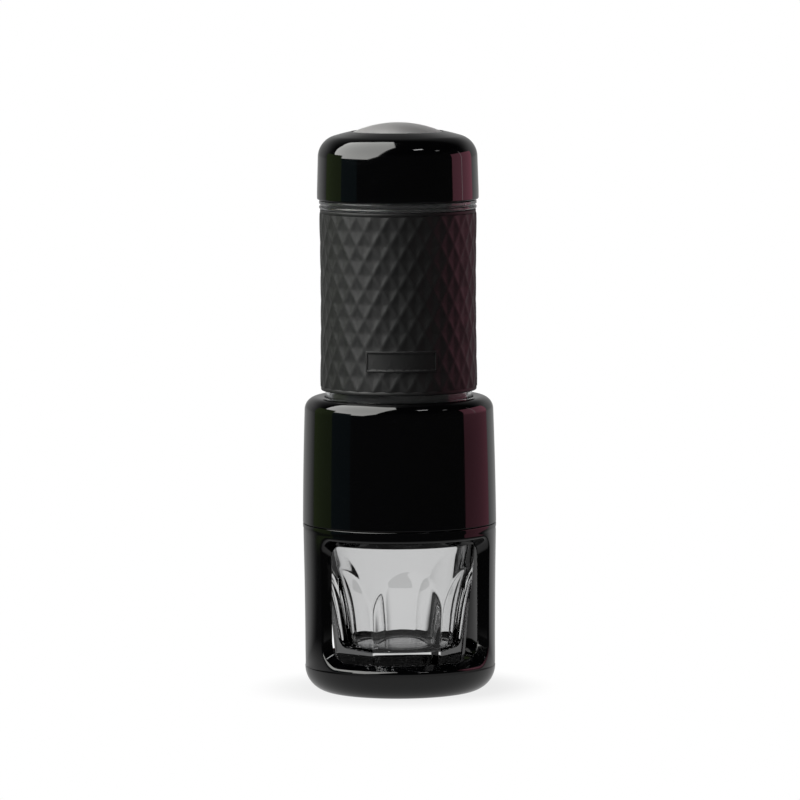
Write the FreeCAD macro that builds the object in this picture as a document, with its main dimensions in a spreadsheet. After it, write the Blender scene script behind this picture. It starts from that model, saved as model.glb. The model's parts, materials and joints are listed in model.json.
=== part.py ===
import FreeCAD, Part
import math
import os
import Sketcher

# A handheld manual espresso maker, standing upright on its own base. Millimetres, Z up,
# the origin on the table under the middle of the foot, and the front window facing -Y.

V = FreeCAD.Vector
doc = FreeCAD.newDocument("espresso_maker")

# Driving sizes: alias, value and what it measures.
SIZES = [
    # clearances
    ("loose_gap", 0.3, "between pieces that lift apart"),
    ("seam_gap", 0.25, "shut line between two housings"),
    ("ring_gap", 0.08, "from a seal to the wall that it slides on"),
    ("run_gap", 0.05, "from a shaft to its bush, or a piston to its bore"),
    ("fit_gap", 0.05, "round a piece pressed into its seat"),
    # base with its two windows
    ("foot_proud", 0.6, "how far the foot ring stands below the base"),
    ("foot_inset", 7.3, "from the foot ring's inner edge to the rounded lower edge"),
    ("foot_width", 5.0, "width of the foot ring"),
    ("foot_sunk", 2.0, "depth of the groove that holds the foot ring"),
    ("base_draw", 1.05, "how much the base draws in from the seam to its rounded lower edge"),
    ("base_round", 8.6, "radius of the rounded lower edge"),
    ("base_height", 64.1, "top edge of the base"),
    ("seam_radius", 36.95, "outside radius where base and head meet"),
    ("base_hollow", 980.0, "radius of the side's slight hollow curve"),
    ("base_floor", 7.0, "level of the floor inside the base"),
    ("base_wall", 5.45, "wall of the base at the seam"),
    ("base_corner", 3.0, "radius between floor and wall"),
    ("window_sweep", 121.5, "angle that each window takes, in degrees"),
    ("window_lintel", 4.1, "from the base's top edge to the window on the outside"),
    ("window_flare_top", 3.1, "how much lower the window's upper edge is inside"),
    ("window_sill", 3.9, "from the base's floor to the window on the outside"),
    ("window_flare_low", 2.2, "how much higher the window's lower edge is inside"),
    ("window_round_top", 5.0, "corner radius at the top of the window"),
    ("window_round_low", 8.0, "corner radius at the bottom of the window"),
    ("mat_inset", 2.0, "how far the mat's edge lies inside the cup's foot"),
    ("mat_thick", 1.2, "thickness of that mat"),
    ("mat_sunk", 0.5, "how deep the mat sits in the floor"),
    # glass cup
    ("cup_flare", 5.5, "how much wider the cup is at its rim than at its foot"),
    ("cup_space", 2.5, "from the cup's rim to the wall of the base"),
    ("cup_drop", 6.1, "from the seam down to the cup's rim"),
    ("cup_lip", 1.2, "radius of the rounded lip"),
    ("cup_wall", 2.4, "wall at the rim"),
    ("cup_bottom", 9.5, "thickness of the glass bottom"),
    ("cup_foot_wall", 5.5, "glass round the bore at the foot"),
    ("cup_bore_round", 4.0, "radius inside at the bottom"),
    ("facets", 6.0, "number of flats round the cup"),
    ("facet_rise", 22.0, "height on the cup where the flats begin to curve out"),
    ("facet_lean", 2.0, "how far a flat leans out up to that level"),
    ("facet_curve", 50.0, "radius of the curve above that level"),
    ("facet_height", 42.5, "height on the cup where the flats run out"),
    # head
    ("head_height", 48.15, "height of the head's housing"),
    ("head_draw", 0.92, "how much the head draws in up to its shoulder"),
    ("head_hollow", 1650.0, "radius of the side's slight curve"),
    ("shoulder_round", 5.0, "radius of the shoulder"),
    ("head_wall", 2.4, "wall of the head's housing"),
    ("neck_wall", 2.4, "wall of the socket for the tank"),
    ("neck_depth", 24.5, "depth of that socket"),
    ("plug_wall", 1.6, "wall of the ring that plugs into the base"),
    ("plug_depth", 5.5, "depth of that ring"),
    ("plate_thick", 2.0, "thickness of the lower plate"),
    ("chamber_floor", 3.0, "thickness of the brew chamber's floor"),
    ("ledge_depth", 4.05, "depth of the ledge below the chamber's top"),
    ("ledge_width", 2.58, "width of the ledge that the basket hangs on"),
    ("chamber_dish", 1.0, "how far the chamber's floor slopes down to the outlet"),
    ("chamber_outlet", 3.0, "radius of the outlet and the spout's bore"),
    ("spout_radius", 6.0, "outside radius of the spout"),
    ("spout_drop", 4.8, "how far the spout reaches below the plate"),
    ("spout_flare", 1.0, "bevel at the spout's end"),
    ("spout_collar", 8.5, "radius of the spout's collar"),
    ("collar_thick", 1.2, "thickness of that collar"),
    ("screw_shank", 1.25, "radius of the plate screws"),
    ("screw_head", 2.3, "radius of their heads"),
    ("screw_head_tall", 1.1, "height of their heads"),
    ("screw_bite", 2.4, "how far they reach into the chamber's floor"),
    ("screw_inset", 7.8, "from the chamber's wall in to the plate screws"),
    ("gasket_thick", 1.0, "thickness of the gasket on the ledge"),
    ("base_ring", 0.5, "section radius of the ring that seals head and base"),
    ("base_ring_rise", 2.2, "height of that ring above the plug's lower edge"),
    # coffee basket
    ("basket_side", 0.5, "between the basket and the chamber's wall"),
    ("basket_wall", 0.6, "sheet of the basket"),
    ("basket_clear", 0.85, "between the basket and the chamber's floor"),
    ("flange_thick", 0.8, "thickness of the rolled flange"),
    ("filter_thick", 0.4, "thickness of the filter disc"),
    ("filter_hole", 0.9, "radius of the drilled holes"),
    # tank
    ("head_space", 5.25, "from the neck to the head's outside under the shoulder"),
    ("tank_wall", 2.2, "wall of the tank"),
    ("tank_skirt", 11.5, "height of the skirt under the tank's floor"),
    ("tank_floor", 2.5, "thickness of the tank's floor"),
    ("tank_height", 97.55, "height of the tank"),
    ("bead_proud", 2.0, "how far the clear collar's beads stand out"),
    ("groove_depth", 0.9, "depth of the groove between the beads"),
    ("collar_low", 1.3, "height of the lower bead"),
    ("collar_mid", 0.4, "height of the groove"),
    ("collar_high", 1.6, "height of the upper bead"),
    ("gasket_lap", 1.6, "how far the gasket under the tank reaches in past its wall"),
    ("tank_gasket_drop", 3.6, "how far that gasket stands below the skirt"),
    ("screen_thick", 0.6, "thickness of the shower screen"),
    ("screen_rise", 1.8, "height of the screen above the skirt's lower edge"),
    ("bead_round", 0.3, "rounding of the collar's beads"),
    ("tank_ring", 0.6, "section radius of the ring that seals tank and head"),
    ("tank_ring_rise", 5.0, "height of that ring above the tank's underside"),
    # grip sleeve
    ("sleeve_wall", 2.1, "wall of the grip sleeve at its ends"),
    ("sleeve_waist", 0.4, "how much the sleeve draws in at its waist"),
    ("sleeve_show", 2.5, "clear ring left showing under the sleeve"),
    ("sleeve_band", 1.6, "height of the plain bands at both ends"),
    ("sleeve_step", 0.35, "how far those bands stand back"),
    ("diamonds_round", 28.0, "number of diamonds round the sleeve"),
    ("diamond_rows", 12.0, "number of half diamonds up the sleeve"),
    ("diamond_depth", 0.45, "depth of each diamond at its middle"),
    # pump
    ("bore_radius", 6.5, "bore of the pump cylinder"),
    ("cylinder_wall", 1.4, "wall of the pump cylinder"),
    ("stroke_spare", 1.4, "from the raised piston to the cylinder's top"),
    ("cylinder_flange", 11.0, "radius of its flange"),
    ("cylinder_flange_thick", 1.9, "thickness of its flange"),
    ("port_radius", 1.2, "radius of the inlet ports"),
    ("port_drop", 9.4, "inlet ports below the cylinder's top"),
    ("block_thick", 4.0, "thickness of the valve block"),
    ("valve_stem", 1.0, "radius of the outlet valve's stem"),
    ("valve_disc", 3.4, "radius of the outlet valve's disc"),
    ("valve_disc_thick", 1.0, "thickness of that disc"),
    ("valve_bulb", 1.6, "radius of the bulb that keeps the valve in"),
    ("valve_travel", 0.9, "how far the valve drops open"),
    ("valve_hole", 0.7, "radius of the outlet holes"),
    ("valve_hole_circle", 2.3, "radius of the circle of outlet holes"),
    ("piston_tall", 6.0, "height of the piston"),
    ("piston_floor", 1.0, "thickness of the piston under the rod's tip"),
    ("piston_lift", 4.0, "space under the piston at rest"),
    ("piston_side", 0.2, "from the piston's side to the bore"),
    ("piston_ring", 0.78, "radius of the piston ring's section"),
    ("rod_radius", 4.0, "radius of the piston rod"),
    ("rod_tip", 2.5, "radius of the rod's tip in the piston"),
    ("rod_neck", 2.9, "radius of the rod's neck in the handle"),
    ("pump_stroke", 34.0, "how far the handle rises"),
    ("clip_radius", 5.5, "radius of the retaining clip"),
    ("clip_thick", 0.8, "thickness of the retaining clip"),
    ("clip_groove", 0.4, "depth of the clip's groove in the rod"),
    # lid
    ("lid_proud", 0.2, "how far the lid's flange stands out past the tank"),
    ("lid_flange_thick", 2.0, "thickness of the lid's flange"),
    ("lid_spigot", 8.0, "depth of the lid's spigot in the tank"),
    ("lid_spigot_wall", 2.2, "wall of that spigot"),
    ("bush_gap", 0.6, "between the cylinder's top and the rod's bush"),
    ("well_wall", 1.9, "wall of the well"),
    ("bush_collar", 1.5, "how far the bush's collar stands out"),
    ("well_floor", 2.0, "thickness of the well's floor"),
    ("bush_radius", 7.0, "outside radius of the rod's bush"),
    ("bush_drop", 2.5, "how far the bush stands below the well"),
    ("lid_ring", 0.7, "section radius of the ring that seals lid and tank"),
    ("lid_ring_drop", 4.0, "depth of that ring below the lid's flange"),
    ("hook_count", 3.0, "number of lock hooks, and of the lugs that they hold"),
    ("hook_sweep", 56.0, "angle that each lock hook takes, in degrees"),
    ("lock_gap", 0.4, "between the lugs and the wall of the hooks"),
    ("hook_wall", 1.6, "wall of the hooks"),
    ("hook_lip", 2.0, "how far the lip of a hook reaches in"),
    ("hook_height", 6.5, "height of the hooks"),
    ("hook_lip_thick", 1.5, "thickness of the lip"),
    # spring
    ("spring_offset", 0.4, "how much nearer the rod than the tube the return spring stands"),
    ("wire_radius", 0.7, "radius of its wire"),
    ("spring_turns", 9.0, "number of turns"),
    # handle
    ("cap_proud", 0.8, "how far the cap stands out past the collar's beads"),
    ("cap_draw", 0.2, "how much the cap draws in up to its shoulder"),
    ("cap_shoulder", 8.0, "radius of the cap's shoulder"),
    ("cap_height", 29.15, "height of the cap"),
    ("cap_dome", 55.0, "radius of the cap's dome"),
    ("cap_wall", 2.0, "wall of the cap"),
    ("cap_edge", 0.8, "rounding of the cap's lower edge"),
    ("crown_inset", 11.0, "from the cap's side to the metal disc"),
    ("crown_thick", 2.2, "depth of that disc at its edge"),
    ("crown_groove", 0.4, "groove left round the disc"),
    ("core_plate", 1.7, "thickness of the core's plate"),
    ("core_gap", 1.8, "space between the plate and the cap's ceiling"),
    ("skirt_inset", 10.9, "from the cap's side to the core's skirt"),
    ("core_wall", 2.4, "wall of that skirt"),
    ("skirt_gap", 1.4, "between the core's skirt and the lid"),
    ("lug_sweep", 28.0, "angle that each lug takes, in degrees"),
    ("lug_reach", 2.5, "how far the lugs stand out"),
    ("lug_thick", 2.6, "thickness of the lugs"),
    ("tube_inset", 6.9, "from the core's skirt to the steel guide tube"),
    ("tube_wall", 1.2, "wall of the guide tube"),
    ("tube_rise", 1.0, "between the guide tube and the well's floor"),
    ("hub_wall", 2.2, "wall of the hub that holds the guide tube"),
    ("hub_depth", 8.0, "how far the hub holds the guide tube"),
    ("core_screw_out", 3.3, "from the core's skirt out to its screws"),
    ("core_screw", 1.0, "radius of those screws"),
    ("core_screw_head", 1.9, "radius of their heads"),
    ("core_screw_head_tall", 1.4, "height of their heads"),
    ("core_boss", 3.0, "radius of the bosses that they go into"),
]


class Size:
    """A size together with the sheet formula that it comes from."""

    def __init__(self, value, formula):
        self.value = float(value)
        self.formula = formula

    def combined(self, sign, other, value):
        return Size(value, "(%s %s %s)" % (self.formula, sign, other.formula))

    def __add__(self, other):
        other = as_size(other)
        return self.combined("+", other, self.value + other.value)

    def __sub__(self, other):
        other = as_size(other)
        return self.combined("-", other, self.value - other.value)

    def __mul__(self, other):
        other = as_size(other)
        return self.combined("*", other, self.value * other.value)

    def __truediv__(self, other):
        other = as_size(other)
        return self.combined("/", other, self.value / other.value)

    def __radd__(self, other):
        return as_size(other) + self

    def __rsub__(self, other):
        return as_size(other) - self

    def __rmul__(self, other):
        return as_size(other) * self

    def __rtruediv__(self, other):
        return as_size(other) / self


def as_size(number):
    """The number as a Size."""
    if isinstance(number, Size):
        return number
    return Size(number, "%.6f" % number)


def root(size):
    """The square root of a Size."""
    return Size(math.sqrt(size.value), "sqrt(%s)" % size.formula)


def cosine(angle):
    """The cosine of a Size in degrees."""
    return Size(math.cos(math.radians(angle.value)), "cos(%s)" % angle.formula)


def on_circle(radius, offset):
    """The height of a circle of this radius at this distance from its middle line."""
    return root(radius * radius - offset * offset)


class SizeSheet:
    """The driving sizes as cells of the document's sheet, read by their aliases."""

    def __init__(self, rows):
        cells = doc.addObject("Spreadsheet::Sheet", "Sizes")
        for row, (alias, value, meaning) in enumerate(rows, start=1):
            cells.set("A%d" % row, meaning)
            cells.set("B%d" % row, str(value))
            cells.setAlias("B%d" % row, alias)
            setattr(self, alias, Size(value, "Sizes.%s" % alias))


S = SizeSheet(SIZES)
doc.recompute()
ZERO = Size(0, "0")
ON_TABLE = ZERO
HALF_TURN = 180
SCREWS_ROUND = 3


# Helpers that draw, turn, cut and round.


def new_body(name):
    """An empty body with the node's name."""
    body = doc.addObject("PartDesign::Body", name)
    body.Label = name
    return body


def origin_part(body, role):
    """An origin plane or axis of a body."""
    for feature in body.Origin.OriginFeatures:
        if feature.Role == role:
            return feature
    raise ValueError(role)


def new_sketch(body, name, role="XZ_Plane", height=None, turn=0):
    """A sketch on an origin plane, lifted by a height or turned about the upright axis."""
    sketch = body.newObject("Sketcher::SketchObject", "%s_%s" % (body.Name, name))
    sketch.AttachmentSupport = [(origin_part(body, role), "")]
    sketch.MapMode = "FlatFace"
    if height is not None:
        sketch.AttachmentOffset = FreeCAD.Placement(V(0, 0, height.value), FreeCAD.Rotation())
        sketch.setExpression("AttachmentOffset.Base.z", height.formula)
    if turn:
        sketch.AttachmentOffset = FreeCAD.Placement(V(0, 0, 0), FreeCAD.Rotation(V(0, 1, 0), turn))
    return sketch


def place_point(sketch, item, end, across, up):
    """Ties an end of a line or arc to its two sizes."""
    for kind, size in (("DistanceX", across), ("DistanceY", up)):
        index = sketch.addConstraint(Sketcher.Constraint(kind, -1, 1, item, end, size.value))
        sketch.setExpression("Constraints[%d]" % index, size.formula)


def arc_between(start, end, radius):
    """The short arc that runs anticlockwise from start to end."""
    chord = end - start
    half = chord.Length / 2
    depth = math.sqrt(max(radius * radius - half * half, 0))
    left = V(-chord.y, chord.x, 0).normalize()
    middle = (start + end) * 0.5 + left * depth
    first = math.atan2(start.y - middle.y, start.x - middle.x)
    last = math.atan2(end.y - middle.y, end.x - middle.x)
    return Part.ArcOfCircle(Part.Circle(middle, V(0, 0, 1), radius), first, last)


def draw_outline(sketch, outline):
    """A closed outline, run with the material on its left.

    A point is (across, up), or (across, up, way, radius) where an arc leads on from it:
    way "out" bulges away from the material and "in" bulges into it."""
    count = len(outline)
    ends = []
    for index, point in enumerate(outline):
        follower = outline[(index + 1) % count]
        start = V(point[0].value, point[1].value, 0)
        end = V(follower[0].value, follower[1].value, 0)
        if len(point) == 2:
            sketch.addGeometry(Part.LineSegment(start, end), False)
            ends.append((1, 2))
        elif point[2] == "out":
            sketch.addGeometry(arc_between(start, end, point[3].value), False)
            ends.append((1, 2))
        else:
            sketch.addGeometry(arc_between(end, start, point[3].value), False)
            ends.append((2, 1))
    for index in range(count):
        after = (index + 1) % count
        join = Sketcher.Constraint("Coincident", index, ends[index][1], after, ends[after][0])
        sketch.addConstraint(join)
    for index, point in enumerate(outline):
        place_point(sketch, index, ends[index][0], as_size(point[0]), as_size(point[1]))
        if len(point) == 4:
            radius = Sketcher.Constraint("Radius", index, point[3].value)
            tied = sketch.addConstraint(radius)
            sketch.setExpression("Constraints[%d]" % tied, point[3].formula)


def draw_circle(sketch, across, up, radius):
    """A circle in a sketch, tied to its three sizes."""
    middle = V(across.value, up.value, 0)
    item = sketch.addGeometry(Part.Circle(middle, V(0, 0, 1), radius.value), False)
    place_point(sketch, item, 3, across, up)
    tied = sketch.addConstraint(Sketcher.Constraint("Radius", item, radius.value))
    sketch.setExpression("Constraints[%d]" % tied, radius.formula)


def volume_of(body):
    """The body's volume after a recompute."""
    doc.recompute()
    return body.Shape.Volume


def turned_body(name, outline):
    """A body turned about the upright axis from an outline of (radius, level) points."""
    body = new_body(name)
    sketch = new_sketch(body, "outline")
    draw_outline(sketch, outline)
    turning = body.newObject("PartDesign::Revolution", name + "_turning")
    turning.Profile = sketch
    turning.ReferenceAxis = (sketch, ["V_Axis"])
    turning.Angle = 360
    doc.recompute()
    return body


def add_turned(body, name, outline, middle, sweep):
    """Adds a turned arc of material whose middle lies at an angle from -Y."""
    sketch = new_sketch(body, name + "_outline", turn=middle - HALF_TURN / 2)
    draw_outline(sketch, outline)
    before = body.Shape.Volume if body.Tip else 0
    turning = body.newObject("PartDesign::Revolution", "%s_%s" % (body.Name, name))
    turning.Profile = sketch
    turning.ReferenceAxis = (sketch, ["V_Axis"])
    turning.Midplane = True
    turning.Angle = sweep.value
    turning.setExpression("Angle", sweep.formula)
    if volume_of(body) <= before:
        raise RuntimeError(name + " adds nothing")
    return turning


def drill(body, name, across, up, radius, level, depth):
    """Drills down from a level, or right through without a depth."""
    sketch = new_sketch(body, name + "_circle", "XY_Plane", height=level)
    draw_circle(sketch, across, up, radius)
    before = volume_of(body)
    pocket = body.newObject("PartDesign::Pocket", "%s_%s" % (body.Name, name))
    pocket.Profile = sketch
    pocket.Length = depth.value
    pocket.setExpression("Length", depth.formula)
    if volume_of(body) >= before:
        raise RuntimeError(name + " cuts nothing")
    return pocket


def raise_post(body, name, across, up, radius, level, height):
    """Adds a round post that stands up from a level."""
    sketch = new_sketch(body, name + "_circle", "XY_Plane", height=level)
    draw_circle(sketch, across, up, radius)
    before = volume_of(body)
    pad = body.newObject("PartDesign::Pad", "%s_%s" % (body.Name, name))
    pad.Profile = sketch
    pad.Length = height.value
    pad.setExpression("Length", height.formula)
    if volume_of(body) <= before:
        raise RuntimeError(name + " adds nothing")
    return pad


def repeat_round(body, feature, count):
    """Repeats a feature evenly round the upright axis."""
    before = volume_of(body)
    pattern = body.newObject("PartDesign::PolarPattern", feature.Name + "_round")
    pattern.Originals = [feature]
    pattern.Axis = (origin_part(body, "Z_Axis"), [""])
    pattern.Angle = 360
    pattern.Occurrences = int(count)
    body.Tip = pattern
    if abs(volume_of(body) - before) < 1e-6:
        raise RuntimeError(feature.Name + " isn't repeated")
    return pattern


def edges_like(body, test):
    """The names of the edges of a body that pass a test."""
    names = []
    for number, edge in enumerate(body.Shape.Edges, start=1):
        if test(edge):
            names.append("Edge%d" % number)
    return names


def is_ring(edge, radius, level):
    """Whether an edge is part of a circle about the upright axis."""
    curve = edge.Curve
    if not isinstance(curve, Part.Circle):
        return False
    upright = abs(abs(curve.Axis.z) - 1) < 1e-6 and math.hypot(curve.Center.x, curve.Center.y) < 1e-4
    return upright and abs(curve.Radius - radius) < 1e-3 and abs(curve.Center.z - level) < 1e-3


def round_edges(body, name, size, test):
    """Rounds the edges of a body that pass a test."""
    doc.recompute()
    names = edges_like(body, test)
    if not names:
        raise RuntimeError(name + " finds no edge")
    sharp = body.Tip
    fillet = body.newObject("PartDesign::Fillet", "%s_%s" % (body.Name, name))
    fillet.Base = (sharp, names)
    fillet.Radius = size.value
    fillet.setExpression("Radius", size.formula)
    doc.recompute()
    if "Invalid" in fillet.State or "Error" in fillet.State:
        raise RuntimeError(name + " can't be rounded")
    return fillet


def round_rings(body, name, size, rings):
    """Rounds circular edges, each given by its radius and level."""
    places = [(radius.value, level.value) for radius, level in rings]
    return round_edges(body, name, size, lambda edge: any(is_ring(edge, *place) for place in places))


def cut_away(name, base, tool):
    """A node that is one object less another."""
    cut = doc.addObject("Part::Cut", name)
    cut.Label = name
    cut.Base = base
    cut.Tool = tool
    doc.recompute()
    if cut.Shape.Volume >= base.Shape.Volume:
        raise RuntimeError(name + " loses nothing")
    return cut


def seal_ring(name, middle, level, section):
    """A seal ring of round section about the upright axis."""
    ring = doc.addObject("Part::Torus", name)
    ring.Label = name
    ring.Radius1 = middle.value
    ring.Radius2 = section.value
    ring.setExpression("Radius1", middle.formula)
    ring.setExpression("Radius2", section.formula)
    ring.setExpression("Placement.Base.z", level.formula)
    return ring


def box_outline(inner, outer, low, high):
    """The outline of a plain turned ring."""
    return [(inner, low), (outer, low), (outer, high), (inner, high)]


# Radii, from the seam between base and head inward.
head_top_radius = S.seam_radius - S.head_draw
neck_outer = head_top_radius - S.head_space
neck_bore = neck_outer - S.neck_wall
tank_radius = neck_bore - S.ring_gap - S.loose_gap
tank_bore = tank_radius - S.tank_wall
base_bore = S.seam_radius - S.base_wall
base_low_radius = S.seam_radius - S.base_draw
base_flat = base_low_radius - S.base_round
foot_inner = base_flat - S.foot_inset
cup_rim = base_bore - S.cup_space
cup_foot = cup_rim - S.cup_flare
cup_bore_low = cup_foot - S.cup_foot_wall
mat_radius = cup_foot - S.mat_inset
chamber_bore = neck_bore - S.ledge_width
screw_circle = chamber_bore - S.screw_inset
basket_radius = chamber_bore - S.basket_side
bead_radius = tank_radius + S.bead_proud
collar_groove = bead_radius - S.groove_depth
sleeve_radius = tank_radius + S.sleeve_wall
lid_flange = tank_radius + S.lid_proud
cylinder_outer = S.bore_radius + S.cylinder_wall
cap_radius = bead_radius + S.cap_proud
cap_inner = cap_radius - S.cap_wall
cap_shoulder_radius = cap_radius - S.cap_draw
shoulder_across = cap_shoulder_radius - S.cap_shoulder
crown_radius = cap_shoulder_radius - S.crown_inset
core_skirt = cap_shoulder_radius - S.skirt_inset
core_screw_circle = core_skirt + S.core_screw_out
tube_outer = core_skirt - S.tube_inset
tube_bore = tube_outer - S.tube_wall
spring_radius = (S.rod_radius + tube_bore) / 2 - S.spring_offset
well_bore = tube_outer + S.loose_gap
well_outer = well_bore + S.well_wall
clip_seat = S.rod_neck - S.clip_groove

# Levels, from the table up.
base_top = S.base_height
window_top_out = base_top - S.window_lintel
window_top_in = window_top_out - S.window_flare_top
window_low_out = S.base_floor + S.window_sill
window_low_in = window_low_out + S.window_flare_low
mat_seat = S.base_floor - S.mat_sunk
cup_low = mat_seat + S.mat_thick + S.loose_gap
cup_rim_level = base_top - S.cup_drop
head_low = base_top + S.seam_gap
head_top = head_low + S.head_height
plate_low = head_low
plate_top = plate_low + S.plate_thick
chamber_low = plate_top + S.fit_gap
chamber_top = head_top - S.neck_depth
ledge = chamber_top - S.ledge_depth
basket_low = chamber_low + S.chamber_floor + S.basket_clear
flange_low = ledge + S.gasket_thick + S.loose_gap
flange_top = flange_low + S.flange_thick
tank_gasket_low = flange_top + S.loose_gap
skirt_low = tank_gasket_low + S.tank_gasket_drop
tank_floor_low = skirt_low + S.tank_skirt
tank_floor_top = tank_floor_low + S.tank_floor
tank_top = skirt_low + S.tank_height
collar_low = tank_top - S.collar_low - S.collar_mid - S.collar_high
sleeve_low = head_top + S.sleeve_show
sleeve_high = collar_low - S.fit_gap
cylinder_low = tank_floor_low - S.cylinder_flange_thick - S.fit_gap
piston_low = cylinder_low + S.piston_lift
piston_top = piston_low + S.piston_tall
cylinder_top = piston_top + S.pump_stroke + S.stroke_spare
block_top = cylinder_low - S.fit_gap
block_low = block_top - S.block_thick
well_level = cylinder_top + S.bush_gap + S.bush_drop
well_inside = well_level + S.well_floor
lid_low = tank_top + S.loose_gap
lid_top = lid_low + S.lid_flange_thick
cap_low = tank_top + S.seam_gap
cap_top = cap_low + S.cap_height
dome_middle = cap_top - S.cap_dome
shoulder_level = dome_middle + on_circle(S.cap_dome - S.cap_shoulder, shoulder_across)
ceiling = shoulder_level + S.cap_shoulder - S.cap_wall
plate_upper = ceiling - S.core_gap
plate_lower = plate_upper - S.core_plate
core_skirt_low = lid_top + S.skirt_gap
tube_low = well_inside + S.tube_rise
tube_top = plate_lower - S.fit_gap

# Seal rings: the middle of each section, and the grooves that hold them.
base_ring_half = S.base_ring + S.fit_gap
base_ring_level = plate_low - S.plug_depth + S.base_ring_rise
base_ring_middle = base_bore - S.ring_gap - S.base_ring
base_ring_seat = base_ring_middle - base_ring_half
tank_ring_half = S.tank_ring + S.fit_gap
tank_ring_level = tank_floor_low + S.tank_ring_rise
tank_ring_middle = neck_bore - S.ring_gap - S.tank_ring
tank_ring_seat = tank_ring_middle - tank_ring_half
lid_ring_half = S.lid_ring + S.fit_gap
lid_ring_level = lid_low - S.lid_ring_drop
lid_ring_middle = tank_bore - S.ring_gap - S.lid_ring
lid_ring_seat = lid_ring_middle - lid_ring_half
piston_ring_half = S.piston_ring + S.fit_gap
piston_ring_level = piston_low + S.piston_tall / 2
piston_ring_middle = S.bore_radius - S.run_gap - S.piston_ring
piston_ring_seat = piston_ring_middle - piston_ring_half


# The base: a cup-shaped housing with a window in front and one behind.


def make_window_cutter(name, middle):
    """The wedge of air in a window, flared outward, with rounded corners."""
    beyond = 4
    outside = S.seam_radius + beyond
    inside = base_bore - beyond
    wall = S.base_wall
    top_reach = S.window_flare_top / wall * beyond
    low_reach = S.window_flare_low / wall * beyond
    outline = [
        (inside, window_low_in + low_reach),
        (outside, window_low_out - low_reach),
        (outside, window_top_out + top_reach),
        (inside, window_top_in - top_reach),
    ]
    body = new_body(name)
    add_turned(body, "wedge", outline, middle, S.window_sweep)
    half_level = (window_top_in.value + window_low_in.value) / 2

    def is_corner(edge, above):
        ends = [vertex.Point for vertex in edge.Vertexes]
        if len(ends) != 2 or not isinstance(edge.Curve, Part.Line):
            return False
        reaches = [math.hypot(end.x, end.y) for end in ends]
        return abs(reaches[0] - reaches[1]) > 1 and (ends[0].z > half_level) == above

    round_edges(body, "top_corners", S.window_round_top, lambda edge: is_corner(edge, True))
    round_edges(body, "low_corners", S.window_round_low, lambda edge: is_corner(edge, False))
    return body


def make_base_housing():
    foot_outer = foot_inner + S.foot_width
    underside = S.foot_proud
    roof = underside + S.foot_sunk
    side_low = underside + S.base_round
    mat_hole = mat_radius + S.fit_gap
    outline = [
        (ZERO, underside),
        (foot_inner - S.fit_gap, underside),
        (foot_inner - S.fit_gap, roof),
        (foot_outer + S.fit_gap, roof),
        (foot_outer + S.fit_gap, underside),
        (base_flat, underside, "out", S.base_round),
        (base_low_radius, side_low, "in", S.base_hollow),
        (S.seam_radius, base_top),
        (base_bore, base_top),
        (base_bore, S.base_floor + S.base_corner, "in", S.base_corner),
        (base_bore - S.base_corner, S.base_floor),
        (mat_hole, S.base_floor),
        (mat_hole, mat_seat),
        (ZERO, mat_seat),
    ]
    shell = turned_body("base_shell", outline)
    front = make_window_cutter("front_window", 0)
    rear = make_window_cutter("rear_window", HALF_TURN)
    return cut_away("base_housing", cut_away("base_front", shell, front), rear)


def make_foot_ring():
    outer = foot_inner + S.foot_width
    outline = box_outline(foot_inner, outer, ON_TABLE, S.foot_proud + S.foot_sunk)
    return turned_body("foot_ring", outline)


def make_cup_mat():
    return turned_body("cup_mat", box_outline(ZERO, mat_radius, mat_seat, mat_seat + S.mat_thick))


# The cup: a round bore in a body that is six-sided below and round at the rim.


def make_glass_cup():
    low = cup_low
    rim = cup_rim_level
    inner_rim = cup_rim - S.cup_wall
    bottom = low + S.cup_bottom
    outline = [
        (ZERO, low),
        (cup_foot, low),
        (cup_rim, rim - S.cup_lip, "out", S.cup_lip),
        (cup_rim - S.cup_lip, rim, "out", S.cup_lip),
        (inner_rim, rim - S.cup_lip),
        (cup_bore_low, bottom + S.cup_bore_round, "in", S.cup_bore_round),
        (cup_bore_low - S.cup_bore_round, bottom),
        (ZERO, bottom),
    ]
    body = turned_body("glass_cup", outline)
    flat_low = cup_foot * cosine(180 / S.facets)
    knee = flat_low + S.facet_lean
    knee_rise = S.facet_height - S.facet_rise
    lean = S.facet_lean / S.facet_rise
    bend = knee_rise * knee_rise / (S.facet_curve * 2)
    run_out = knee + lean * knee_rise + bend
    outside = run_out + S.cup_space
    flat = [
        (flat_low - lean * S.loose_gap, low - S.loose_gap),
        (outside, low - S.loose_gap),
        (outside, low + S.facet_height),
        (run_out, low + S.facet_height, "out", S.facet_curve),
        (knee, low + S.facet_rise),
    ]
    sketch = new_sketch(body, "flat_outline", "YZ_Plane")
    draw_outline(sketch, flat)
    before = volume_of(body)
    pocket = body.newObject("PartDesign::Pocket", "glass_cup_flat")
    pocket.Profile = sketch
    pocket.Type = 1
    pocket.Midplane = True
    if volume_of(body) >= before:
        raise RuntimeError("the flat cuts nothing")
    repeat_round(body, pocket, S.facets.value)
    return body


# The head: a housing whose neck takes the tank, with the brew chamber under it.


def make_brew_housing():
    high = head_top - S.shoulder_round
    low_inner = S.seam_radius - S.head_wall
    high_inner = head_top_radius - S.head_wall
    ceiling_level = head_top - S.head_wall
    inner_corner = S.shoulder_round - S.head_wall
    outline = [
        (low_inner, head_low),
        (S.seam_radius, head_low, "out", S.head_hollow),
        (head_top_radius, high, "out", S.shoulder_round),
        (head_top_radius - S.shoulder_round, head_top),
        (neck_bore, head_top),
        (neck_bore, chamber_top),
        (neck_outer, chamber_top),
        (neck_outer, ceiling_level),
        (high_inner - inner_corner, ceiling_level, "in", inner_corner),
        (high_inner, high),
    ]
    return turned_body("brew_housing", outline)


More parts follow.
